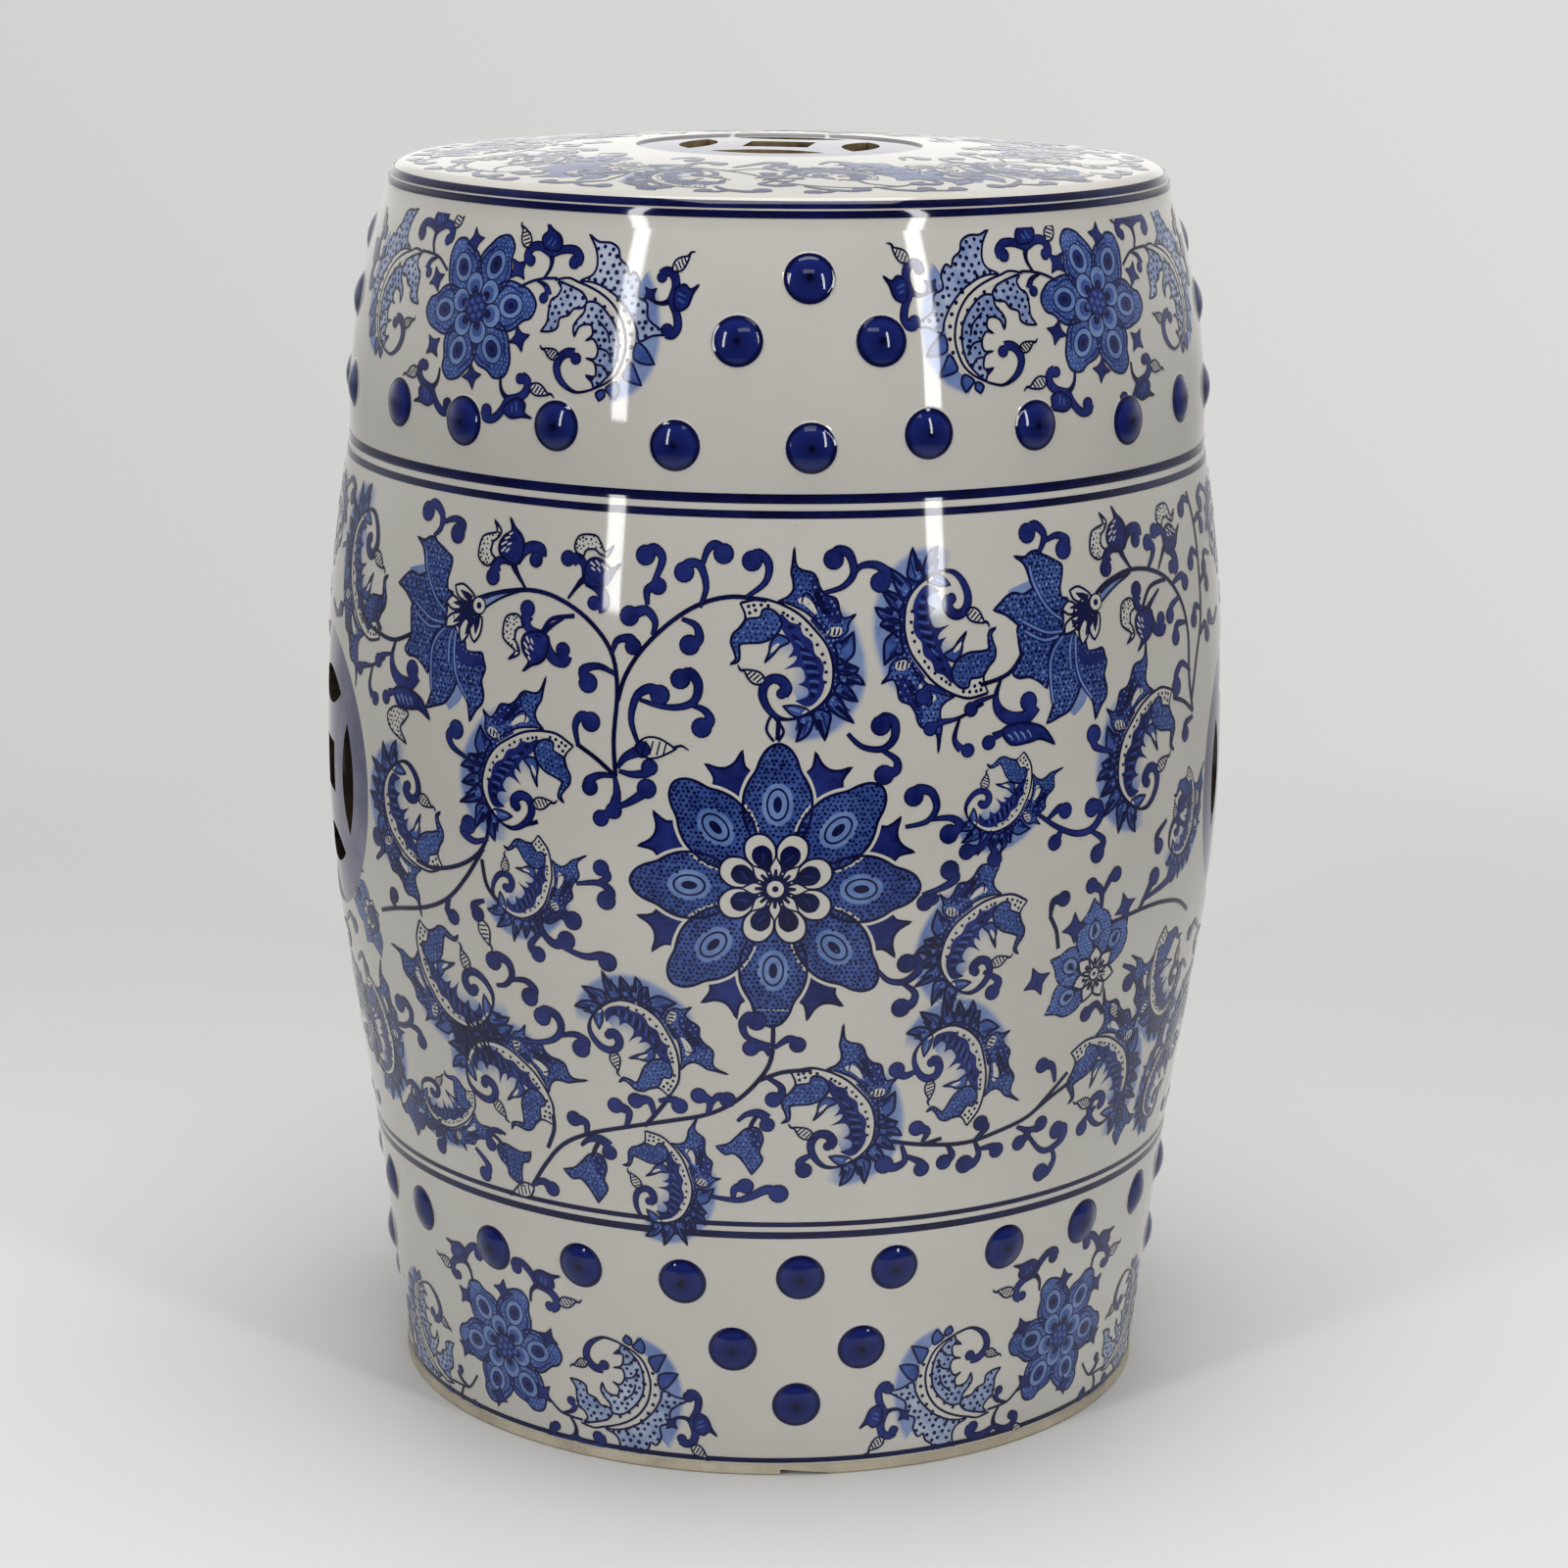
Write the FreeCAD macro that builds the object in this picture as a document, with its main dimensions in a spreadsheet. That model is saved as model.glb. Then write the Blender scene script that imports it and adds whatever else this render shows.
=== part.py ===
import FreeCAD, Part
import math
import os
import Sketcher
from FreeCAD import Placement, Rotation, Vector

# Ceramic garden stool: a hollow barrel with a domed seat, three pierced coin medallions
# (one in the seat, one in each side), nail-head bosses and a bare clay foot.
# Millimetres, +Z up, origin at the centre of the foot on the ground, front towards -Y.
# Angles on the barrel are in degrees from the front, growing towards +X.

doc = FreeCAD.newDocument("garden_stool")
sizes = doc.addObject("Spreadsheet::Sheet", "sizes")

SIZES = {
    # barrel outline, outside: radii as insets from the belly, heights one above the other
    "belly_radius": 169.0,
    "foot_inset": 27.8,
    "ridge_inset": 16.5,
    "band_inset": 10.5,
    "foot_height": 4.0,
    "lower_band": 95.0,
    "lower_belly": 141.0,
    "upper_belly": 117.0,
    "shoulder_height": 88.0,
    "belly_turn": 58.6,
    "shoulder_rise": 5.0,
    "shoulder_arc": 250.0,
    "wall": 9.0,
    # seat
    "seat_rise": 18.5,
    "seat_thickness": 10.0,
    "rim_foot": 4.5,
    "rim_lean": 1.1,
    "rim_inset": 8.7,
    "rim_drop": 6.3,
    "rim_round": 8.5,
    "seat_ledge": 18.5,
    "ledge_blend": 10.0,
    # bare foot
    "foot_ring_width": 20.0,
    "foot_chamfer": 0.8,
    "vent_angle": 5.3,
    "vent_width": 17.0,
    "vent_left": 2.4,
    "vent_right": 0.8,
    # medallions
    "medallion_radius": 52.5,
    "medallion_drop": 3.0,
    "medallion_left": -77.8,
    "medallion_right": 86.3,
    "medallion_recess": 1.2,
    "top_coin_turn": -8.3,
    "top_square": 24.0,
    "side_square": 19.0,
    "lens_length": 42.0,
    "lens_width": 13.5,
    "lens_distance": 30.0,
    # nail-head bosses
    "boss_radius": 8.3,
    "boss_proud": 3.0,
    "row_count": 23,
    "row_start": 4.2,
    "upper_row_rise": 20.5,
    "upper_pair_drop": 35.5,
    "upper_apex_drop": 15.0,
    "lower_row_drop": 20.5,
    "lower_pair_rise": 46.0,
    "lower_apex_rise": 24.3,
    "triangle_spread": 9.0,
    "triangle_front": 4.0,
    "triangle_right": 92.0,
    "triangle_back": 182.0,
    "triangle_left": -90.0,
    # clay coils pressed into the inside joints
    "coil": 6.0,
    "coil_reach": 3.5,
}

# The rows were set out by eye: (degrees, millimetres up) by which each boss on the front
# half stands off its even place, counted from the front. The rest keep their even places.
UPPER_ROW_SHIFTS = {
    -5: (-1.9, 1.0), -4: (1.4, 1.0), -3: (-0.2, -1.0), -2: (-1.1, 1.0), -1: (-1.0, -3.0),
    0: (0.0, -3.0), 1: (-1.0, 1.0), 2: (-1.7, 1.5), 3: (-0.6, -1.0), 4: (-1.5, 2.0),
    5: (-1.0, 1.0),
}
LOWER_ROW_SHIFTS = {
    -5: (2.2, 0.5), -4: (-0.5, -1.0), -3: (0.7, -4.0), -2: (0.4, -2.0), -1: (-0.4, -3.0),
    0: (0.0, 0.0), 1: (-2.7, 2.0), 2: (-1.4, 3.0), 3: (-1.8, 3.5), 4: (-1.3, 2.5),
    5: (-2.4, 3.0),
}

for row, (alias, number) in enumerate(SIZES.items(), start=1):
    sizes.set("A%d" % row, alias)
    sizes.set("B%d" % row, str(number))
    sizes.setAlias("B%d" % row, alias)
doc.recompute()

# Heights and radii that follow from the sizes, as formulas on the sheet
RIDGE_HEIGHT = "(sizes.foot_height + sizes.lower_band)"
BELLY_HEIGHT = "(%s + sizes.lower_belly)" % RIDGE_HEIGHT
BAND_HEIGHT = "(%s + sizes.upper_belly)" % BELLY_HEIGHT
WALL_TOP = "(%s + sizes.shoulder_height)" % BAND_HEIGHT
CROWN = "(%s + sizes.seat_rise)" % WALL_TOP
SHOULDER_TURN = "(%s + sizes.shoulder_rise)" % BAND_HEIGHT
TAPER_TOP = "(%s - sizes.belly_turn)" % BELLY_HEIGHT
MEDALLION_HEIGHT = "(%s - sizes.medallion_drop)" % BELLY_HEIGHT
FOOT_RADIUS = "(sizes.belly_radius - sizes.foot_inset)"
RIDGE_RADIUS = "(sizes.belly_radius - sizes.ridge_inset)"
BAND_RADIUS = "(sizes.belly_radius - sizes.band_inset)"
SHOULDER_RADIUS = ("(%s - sqrt(sizes.shoulder_arc^2 - sizes.shoulder_rise^2)"
                   " + sqrt(sizes.shoulder_arc^2 - (sizes.shoulder_height - sizes.shoulder_rise)^2))"
                   % BAND_RADIUS)
RIM_TOP_RADIUS = "(%s - sizes.rim_inset)" % SHOULDER_RADIUS
LEDGE_RADIUS = "(%s - sizes.seat_ledge)" % SHOULDER_RADIUS
DOME_RADIUS = "((%s^2 + sizes.rim_drop^2) / (2 * sizes.rim_drop))" % RIM_TOP_RADIUS
LENS_ARC = "((sizes.lens_length^2 + sizes.lens_width^2) / (4 * sizes.lens_width))"
BALL_RADIUS = "((sizes.boss_radius^2 + sizes.boss_proud^2) / (2 * sizes.boss_proud))"
OUTSIDE = "(sizes.belly_radius + %s)" % CROWN

START, END, CENTRE = range(1, 4)
ORIGIN = LEVEL_AXIS = -1
UP_AXIS = -2
UPWARD = Vector(0, 0, 1)
SLOPE_STEP = 0.5

nodes = []


def worth(formula):
    """What a formula on the sheet comes to."""
    return float(sizes.evalExpression(formula))


def node(piece, label):
    """Take a finished sub-part; its label is the name of its file."""
    piece.Label = label
    nodes.append(piece)


def new_sketch(body, name, turned=None):
    """A sketch on the body's upright plane: its x runs outwards and its y upwards.

    The plane may be turned about the upright axis by an angle on the sheet.
    """
    sketch = body.newObject("Sketcher::SketchObject", name)
    plane = [item for item in body.Origin.OriginFeatures if item.Role == "XZ_Plane"][0]
    sketch.AttachmentSupport = [(plane, "")]
    sketch.MapMode = "FlatFace"
    if turned:
        sketch.AttachmentOffset = Placement(Vector(), Rotation(Vector(0, 1, 0), worth(turned)))
        sketch.setExpression(".AttachmentOffset.Rotation.Angle", "%s * 1 deg" % turned)
    return sketch


def add_line(sketch, start, end):
    return sketch.addGeometry(Part.LineSegment(Vector(*start, 0), Vector(*end, 0)), False)


def add_arc(sketch, centre, start, end):
    """An arc that runs counter-clockwise from start to end about centre."""
    first = math.atan2(start[1] - centre[1], start[0] - centre[0])
    last = math.atan2(end[1] - centre[1], end[0] - centre[0])
    circle = Part.Circle(Vector(*centre, 0), UPWARD, math.dist(centre, start))
    return sketch.addGeometry(Part.ArcOfCircle(circle, first, last), False)


def constrain(sketch, kind, *measures):
    return sketch.addConstraint(Sketcher.Constraint(kind, *measures))


def join(sketch, *pairs):
    for pair in pairs:
        constrain(sketch, "Coincident", *pair)


def hold_radius(sketch, geometry, formula):
    index = constrain(sketch, "Radius", geometry, worth(formula))
    sketch.setExpression("Constraints[%d]" % index, formula)


def hold_x(sketch, geometry, point, formula):
    """Bind a point's distance from the upright axis; a bare 0 puts it on the axis."""
    if formula == "0":
        constrain(sketch, "PointOnObject", geometry, point, UP_AXIS)
    else:
        index = constrain(sketch, "DistanceX", ORIGIN, START, geometry, point, worth(formula))
        sketch.setExpression("Constraints[%d]" % index, formula)


def hold_y(sketch, geometry, point, formula):
    """Bind a point's height over the ground; a bare 0 puts it on the ground."""
    if formula == "0":
        constrain(sketch, "PointOnObject", geometry, point, LEVEL_AXIS)
    else:
        index = constrain(sketch, "DistanceY", ORIGIN, START, geometry, point, worth(formula))
        sketch.setExpression("Constraints[%d]" % index, formula)


def hold(sketch, geometry, point, x_formula, y_formula):
    hold_x(sketch, geometry, point, x_formula)
    hold_y(sketch, geometry, point, y_formula)


def straight_outline(sketch, corners):
    """A closed outline of straight lines through corners given as pairs of formulas."""
    places = [(worth(x), worth(y)) for x, y in corners]
    lines = [add_line(sketch, places[i - 1], places[i]) for i in range(len(corners))]
    for i, line in enumerate(lines):
        join(sketch, (lines[i - 1], END, line, START))
        hold(sketch, line, END, *corners[i])


def turn(body, sketch, kind="PartDesign::Revolution"):
    feature = body.newObject(kind, "turned")
    feature.Profile = sketch
    feature.ReferenceAxis = (sketch, ["V_Axis"])
    feature.Angle = 360


def cut_outwards(body, sketch, name):
    """Cut a sketch through the wall on the side that its plane faces."""
    doc.recompute()
    pocket = body.newObject("PartDesign::Pocket", name)
    pocket.Profile = sketch
    pocket.Reversed = True
    pocket.setExpression("Length", OUTSIDE)
    doc.recompute()


def barrel_outline(body, name, inset="0"):
    """The barrel's outline as a sketch, with every radius less by the inset.

    From the foot a straight band runs to the ridge and a straight taper on to the belly
    arc, which turns over at the belly and runs on to the painted band line and the shoulder.
    """
    foot_x, ridge_x, belly_x, band_x, shoulder_x = [
        "%s - (%s)" % (radius, inset) for radius in
        (FOOT_RADIUS, RIDGE_RADIUS, "sizes.belly_radius", BAND_RADIUS, SHOULDER_RADIUS)]
    sketch = new_sketch(body, name)
    foot = (worth(foot_x), worth("sizes.foot_height"))
    ridge = (worth(ridge_x), worth(RIDGE_HEIGHT))
    belly = (worth(belly_x), worth(BELLY_HEIGHT))
    band = (worth(band_x), worth(BAND_HEIGHT))
    shoulder = (worth(shoulder_x), worth(WALL_TOP))

    rise = worth("sizes.belly_turn")
    half_lean = math.atan((belly[0] - ridge[0]) / (2 * (belly[1] - rise - ridge[1]) + rise))
    lower_arc_radius = rise / math.sin(2 * half_lean)
    taper = (belly[0] - rise * math.tan(half_lean), belly[1] - rise)
    run, climb = belly[0] - band[0], band[1] - belly[1]
    upper_arc_radius = (run ** 2 + climb ** 2) / (2 * run)
    shoulder_turn = worth(SHOULDER_TURN)
    shoulder_reach = math.sqrt(worth("sizes.shoulder_arc") ** 2 - (shoulder_turn - band[1]) ** 2)

    base = add_line(sketch, (0, foot[1]), foot)
    lower_band = add_line(sketch, foot, ridge)
    taper_line = add_line(sketch, ridge, taper)
    lower_arc = add_arc(sketch, (belly[0] - lower_arc_radius, belly[1]), taper, belly)
    upper_arc = add_arc(sketch, (belly[0] - upper_arc_radius, belly[1]), belly, band)
    shoulder_arc = add_arc(sketch, (band[0] - shoulder_reach, shoulder_turn), band, shoulder)
    lid = add_line(sketch, shoulder, (0, shoulder[1]))
    spine = add_line(sketch, (0, shoulder[1]), (0, foot[1]))

    join(sketch, (base, END, lower_band, START), (lower_band, END, taper_line, START),
         (lower_arc, END, upper_arc, START), (upper_arc, END, shoulder_arc, START),
         (shoulder_arc, END, lid, START), (lid, END, spine, START), (spine, END, base, START))
    constrain(sketch, "Tangent", taper_line, END, lower_arc, START)
    constrain(sketch, "Horizontal", base)
    constrain(sketch, "Horizontal", lid)
    hold_x(sketch, base, START, "0")
    hold_x(sketch, lid, END, "0")
    hold(sketch, base, END, foot_x, "sizes.foot_height")
    hold(sketch, lower_band, END, ridge_x, RIDGE_HEIGHT)
    hold_y(sketch, taper_line, END, TAPER_TOP)
    hold_y(sketch, lower_arc, CENTRE, BELLY_HEIGHT)
    hold(sketch, lower_arc, END, belly_x, BELLY_HEIGHT)
    hold_y(sketch, upper_arc, CENTRE, BELLY_HEIGHT)
    hold(sketch, upper_arc, END, band_x, BAND_HEIGHT)
    hold_radius(sketch, shoulder_arc, "sizes.shoulder_arc")
    hold_y(sketch, shoulder_arc, CENTRE, SHOULDER_TURN)
    hold_y(sketch, shoulder_arc, END, WALL_TOP)
    return sketch


def barrel_form(name, inset="0"):
    """The solid inside the barrel's outline at this inset, used to cut other pieces."""
    body = doc.addObject("PartDesign::Body", name)
    turn(body, barrel_outline(body, name + "_outline", inset))
    return body


def dome_point(radius_formula, depth_formula):
    """A point on the seat's dome, or a depth under it, at a radius from the axis."""
    radius = worth(radius_formula)
    ball = worth("%s - (%s)" % (DOME_RADIUS, depth_formula))
    return (radius, worth("%s - %s" % (CROWN, DOME_RADIUS)) + math.sqrt(ball ** 2 - radius ** 2))


def dome_arc(sketch, outer, inner, depth_formula):
    """An arc between two points on the dome, or a depth under it, about the dome's centre."""
    arc = add_arc(sketch, (0, worth("%s - %s" % (CROWN, DOME_RADIUS))), outer, inner)
    hold(sketch, arc, CENTRE, "0", "%s - %s" % (CROWN, DOME_RADIUS))
    hold_radius(sketch, arc, "%s - (%s)" % (DOME_RADIUS, depth_formula))
    return arc


def dome_ring(name, inner_radius, outer_radius, top_depth, bottom_depth):
    """A ring between two depths under the dome, or a disc where the inner radius is 0."""
    body = doc.addObject("PartDesign::Body", name)
    sketch = new_sketch(body, name + "_section")
    upper_outer, upper_inner = [dome_point(r, top_depth) for r in (outer_radius, inner_radius)]
    lower_outer, lower_inner = [dome_point(r, bottom_depth) for r in (outer_radius, inner_radius)]
    top = dome_arc(sketch, upper_outer, upper_inner, top_depth)
    bottom = dome_arc(sketch, lower_outer, lower_inner, bottom_depth)
    edge = add_line(sketch, lower_outer, upper_outer)
    core = add_line(sketch, upper_inner, lower_inner)
    join(sketch, (edge, END, top, START), (top, END, core, START), (core, END, bottom, END),
         (bottom, START, edge, START))
    for point in (START, END):
        hold_x(sketch, edge, point, outer_radius)
        hold_x(sketch, core, point, inner_radius)
    turn(body, sketch)
    return body


def combine(kind, name, base, tool):
    pair = doc.addObject(kind, name)
    pair.Base = base
    pair.Tool = tool
    return pair


def compound(name, members):
    group = doc.addObject("Part::Compound", name)
    group.Links = members
    return group


def cylinder(name, radius):
    rod = doc.addObject("Part::Cylinder", name)
    rod.setExpression("Radius", radius)
    rod.setExpression("Height", OUTSIDE)
    return rod


def coin_cutter(name, square):
    """A square hole with a lens-shaped hole along each of its sides, as one cutting tool."""
    middle = doc.addObject("Part::Box", name + "_square")
    middle.setExpression("Length", square)
    middle.setExpression("Width", square)
    middle.setExpression("Height", OUTSIDE)
    middle.setExpression(".Placement.Base.x", "-%s / 2" % square)
    middle.setExpression(".Placement.Base.y", "-%s / 2" % square)
    holes = [middle]
    for side, (along_x, along_y) in enumerate([(1, 0), (0, 1), (-1, 0), (0, -1)]):
        arcs = []
        for shift in (-1, 1):
            arc = cylinder("%s_arc_%d_%d" % (name, side, shift + 1), LENS_ARC)
            distance = "(sizes.lens_distance + %d * (%s - sizes.lens_width / 2))" % (shift, LENS_ARC)
            arc.setExpression(".Placement.Base.x", "%d * %s" % (along_x, distance))
            arc.setExpression(".Placement.Base.y", "%d * %s" % (along_y, distance))
            arcs.append(arc)
        holes.append(combine("Part::Common", "%s_lens_%d" % (name, side), *arcs))
    return compound(name, holes)


def corner_coil(label, corner_radius, level, up):
    """A three-sided clay coil in the corner between the wall's inside and a level face."""
    body = doc.addObject("PartDesign::Body", label + "_ring")
    sketch = new_sketch(body, label + "_section")
    straight_outline(sketch, [
        ("%s - sizes.coil" % corner_radius, level),
        ("%s + sizes.coil" % corner_radius, level),
        ("%s + sizes.coil" % corner_radius, "%s + %d * 2 * sizes.coil" % (level, up)),
    ])
    turn(body, sketch)
    node(combine("Part::Common", label, body, inner_form), label)


def heading(angle):
    """The level direction out of the axis at an angle from the front."""
    turned = math.radians(angle)
    return Vector(math.sin(turned), -math.cos(turned), 0)


def facing(angle):
    """A placement at medallion height whose own Z looks out at this angle, Y staying up."""
    return Placement(Vector(0, 0, worth(MEDALLION_HEIGHT)),
                     Rotation(UPWARD, angle) * Rotation(Vector(1, 0, 0), 90))


def face_radius(height):
    """How far from the axis the barrel's outside lies at a height."""
    level = Vector(0, 0, height)
    ray = Part.makeLine(level, level + heading(0) * worth(OUTSIDE))
    inside = outer_form.Shape.common(ray)
    return max(math.hypot(corner.X, corner.Y) for corner in inside.Vertexes)


def add_bosses(label, spots):
    """Nail-head bosses: caps of a ball that sits in the wall, cut off at the barrel's face."""
    sunk = worth("%s - sizes.boss_proud" % BALL_RADIUS)
    balls = []
    for number, (angle, height) in enumerate(spots, start=1):
        radius = face_radius(height)
        lean = math.atan2(face_radius(height + SLOPE_STEP) - radius, SLOPE_STEP)
        normal = heading(angle) * math.cos(lean) - UPWARD * math.sin(lean)
        ball = doc.addObject("Part::Sphere", "%s_ball_%d" % (label, number))
        ball.setExpression("Radius", BALL_RADIUS)
        ball.Placement = Placement(heading(angle) * radius + UPWARD * height - normal * sunk,
                                   Rotation(UPWARD, normal))
        balls.append(ball)
    node(combine("Part::Cut", label, compound(label + "_balls", balls), outer_form), label)


def row_spots(height, shifts):
    """The places round one row: evenly spaced, with the shifts set out by eye added."""
    count = int(worth("sizes.row_count"))
    spots = []
    for index in range(count):
        place = index if index <= count // 2 else index - count
        turned, raised = shifts.get(place, (0.0, 0.0))
        spots.append((worth("sizes.row_start") + place * 360 / count + turned,
                      worth(height) + raised))
    return spots


def triangle_spots(centre, pair_height, apex_height):
    middle = worth(centre)
    spread = worth("sizes.triangle_spread")
    return [(middle - spread, worth(pair_height)), (middle + spread, worth(pair_height)),
            (middle, worth(apex_height))]


outer_form = barrel_form("outer_form")
inner_form = barrel_form("inner_form", "sizes.wall")
recess_form = barrel_form("recess_form", "sizes.medallion_recess")
coil_form = barrel_form("coil_form", "sizes.wall + sizes.coil_reach")
doc.recompute()


# Barrel wall: turned hollow, with a round opening in each side for a medallion
wall = doc.addObject("PartDesign::Body", "wall_body")
turn(wall, barrel_outline(wall, "wall_outside"))
turn(wall, barrel_outline(wall, "wall_inside", "sizes.wall"), "PartDesign::Groove")
for side in ("left", "right"):
    opening = new_sketch(wall, "opening_" + side, "sizes.medallion_" + side)
    circle = Part.Circle(Vector(0, worth(MEDALLION_HEIGHT), 0), UPWARD,
                         worth("sizes.medallion_radius"))
    ring = opening.addGeometry(circle, False)
    hold(opening, ring, CENTRE, "0", MEDALLION_HEIGHT)
    hold_radius(opening, ring, "sizes.medallion_radius")
    cut_outwards(wall, opening, "opening_cut_" + side)
node(wall, "barrel_wall")


# Seat: a domed plate with a rounded rim, standing on the wall by a level ledge
seat = doc.addObject("PartDesign::Body", "seat_body")
section = new_sketch(seat, "seat_section")
shoulder = (worth(SHOULDER_RADIUS), worth(WALL_TOP))
rim_start = (shoulder[0] - worth("sizes.rim_lean"), shoulder[1] + worth("sizes.rim_foot"))
rim_end = dome_point(RIM_TOP_RADIUS, "0")
rim_lines = (rim_end[0] - rim_start[0], rim_end[1] - rim_start[1])
rim_chord = math.hypot(*rim_lines)
rim_share = math.sqrt(worth("sizes.rim_round") ** 2 - rim_chord ** 2 / 4) / rim_chord
rim_centre = ((rim_start[0] + rim_end[0]) / 2 - rim_lines[1] * rim_share,
              (rim_start[1] + rim_end[1]) / 2 + rim_lines[0] * rim_share)
opening_top = dome_point("sizes.medallion_radius", "0")
opening_bottom = dome_point("sizes.medallion_radius", "sizes.seat_thickness")
ledge_inside = (worth(LEDGE_RADIUS), shoulder[1])
blend_end = dome_point("%s - sizes.ledge_blend" % LEDGE_RADIUS, "sizes.seat_thickness")

side_line = add_line(section, shoulder, rim_start)
rim_arc = add_arc(section, rim_centre, rim_start, rim_end)
dome = dome_arc(section, rim_end, opening_top, "0")
opening_line = add_line(section, opening_top, opening_bottom)
underside = dome_arc(section, blend_end, opening_bottom, "sizes.seat_thickness")
blend = add_line(section, blend_end, ledge_inside)
ledge = add_line(section, ledge_inside, shoulder)
join(section, (side_line, END, rim_arc, START), (rim_arc, END, dome, START),
     (dome, END, opening_line, START), (opening_line, END, underside, END),
     (underside, START, blend, START), (blend, END, ledge, START), (ledge, END, side_line, START))
hold(section, side_line, START, SHOULDER_RADIUS, WALL_TOP)
hold(section, side_line, END, "%s - sizes.rim_lean" % SHOULDER_RADIUS,
     "%s + sizes.rim_foot" % WALL_TOP)
hold_radius(section, rim_arc, "sizes.rim_round")
hold_x(section, rim_arc, END, RIM_TOP_RADIUS)
hold_x(section, opening_line, START, "sizes.medallion_radius")
hold_x(section, opening_line, END, "sizes.medallion_radius")
hold_x(section, blend, START, "%s - sizes.ledge_blend" % LEDGE_RADIUS)
hold(section, blend, END, LEDGE_RADIUS, WALL_TOP)
turn(seat, section)
node(seat, "seat_top")


# Seat medallion: a disc sunk a little below the dome and pierced as a coin, with the clay
# coil that holds it from below
top_disc = dome_ring("top_disc", "0", "sizes.medallion_radius", "sizes.medallion_recess",
                     "sizes.seat_thickness")
top_cutter = coin_cutter("top_coin", "sizes.top_square")
top_cutter.Placement = Placement(Vector(), Rotation(UPWARD, worth("sizes.top_coin_turn")))
node(combine("Part::Cut", "top_coin", top_disc, top_cutter), "top_coin_medallion")
coil_inside = "sizes.medallion_radius - sizes.coil / 2"
coil_outside = "sizes.medallion_radius + sizes.coil / 2"
node(dome_ring("top_coil", coil_inside, coil_outside, "sizes.seat_thickness",
               "sizes.seat_thickness + sizes.coil_reach"), "top_medallion_coil")


# Side medallions: discs cut from the wall's own curve, sunk a little and pierced as coins,
# each with its clay coil inside
medallion_shell = combine("Part::Cut", "medallion_shell", recess_form, inner_form)
coil_shell = combine("Part::Cut", "coil_shell", inner_form, coil_form)
for side in ("left", "right"):
    out = facing(worth("sizes.medallion_" + side))
    disc = cylinder("side_disc_" + side, "sizes.medallion_radius")
    cutter = coin_cutter("side_coin_" + side, "sizes.side_square")
    coil_rim = cylinder("coil_rim_" + side, coil_outside)
    coil_hole = cylinder("coil_hole_" + side, coil_inside)
    for tool in (disc, cutter, coil_rim, coil_hole):
        tool.Placement = out
    plate = combine("Part::Common", "side_plate_" + side, medallion_shell, disc)
    node(combine("Part::Cut", "side_medallion_" + side, plate, cutter),
         "side_coin_medallion_" + side)
    coil_band = combine("Part::Cut", "coil_band_" + side, coil_rim, coil_hole)
    node(combine("Part::Common", "side_coil_" + side, coil_shell, coil_band),
         "side_medallion_coil_" + side)


# Bare foot: a flat ring with a small bevel, and one shallow vent under its front
foot_ring = doc.addObject("PartDesign::Body", "foot_body")
section = new_sketch(foot_ring, "foot_section")
straight_outline(section, [
    ("%s - sizes.foot_chamfer" % FOOT_RADIUS, "0"),
    (FOOT_RADIUS, "sizes.foot_chamfer"),
    (FOOT_RADIUS, "sizes.foot_height"),
    ("%s - sizes.foot_ring_width" % FOOT_RADIUS, "sizes.foot_height"),
    ("%s - sizes.foot_ring_width" % FOOT_RADIUS, "0"),
])
turn(foot_ring, section)
vent = new_sketch(foot_ring, "foot_vent", "sizes.vent_angle")
straight_outline(vent, [
    ("sizes.vent_width / 2", "0"),
    ("sizes.vent_width / 2", "sizes.vent_right"),
    ("-sizes.vent_width / 2", "sizes.vent_left"),
    ("-sizes.vent_width / 2", "0"),
])
cut_outwards(foot_ring, vent, "vent_cut")
node(foot_ring, "foot_ring")


# Clay coils in the corners under the seat and over the foot
corner_coil("seat_seam_coil", "(%s - sizes.wall)" % SHOULDER_RADIUS, WALL_TOP, -1)
corner_coil("foot_seam_coil", "(%s - sizes.wall)" % FOOT_RADIUS, "sizes.foot_height", 1)


# Nail-head bosses: a row along each pair of painted lines, and a triangle on each quarter
add_bosses("upper_row_bosses",
           row_spots("%s + sizes.upper_row_rise" % BAND_HEIGHT, UPPER_ROW_SHIFTS))
add_bosses("lower_row_bosses",
           row_spots("%s - sizes.lower_row_drop" % RIDGE_HEIGHT, LOWER_ROW_SHIFTS))
for quarter in ("front", "right", "back", "left"):
    centre = "sizes.triangle_" + quarter
    add_bosses("upper_triangle_bosses_" + quarter,
               triangle_spots(centre, "%s - sizes.upper_pair_drop" % WALL_TOP,
                              "%s - sizes.upper_apex_drop" % WALL_TOP))
    add_bosses("lower_triangle_bosses_" + quarter,
               triangle_spots(centre, "sizes.foot_height + sizes.lower_pair_rise",
                              "sizes.foot_height + sizes.lower_apex_rise"))


doc.recompute()
failed = [item.Name for item in doc.Objects if "Invalid" in item.State or "Error" in item.State]
if failed:
    raise RuntimeError("failed objects: " + ", ".join(failed))
for piece in nodes:
    if piece.Shape.isNull() or not piece.Shape.isValid() or piece.Shape.Volume <= 0:
        raise RuntimeError("bad shape: " + piece.Label)

os.makedirs("parts", exist_ok=True)
for piece in nodes:
    piece.Shape.exportStep("parts/%s.step" % piece.Label)
    print("%-30s solids %2d  volume %10.1f mm3" % (piece.Label, len(piece.Shape.Solids),
                                                   piece.Shape.Volume))
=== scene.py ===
import math
import random
import bpy
from mathutils import Matrix, Vector, geometry


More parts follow.
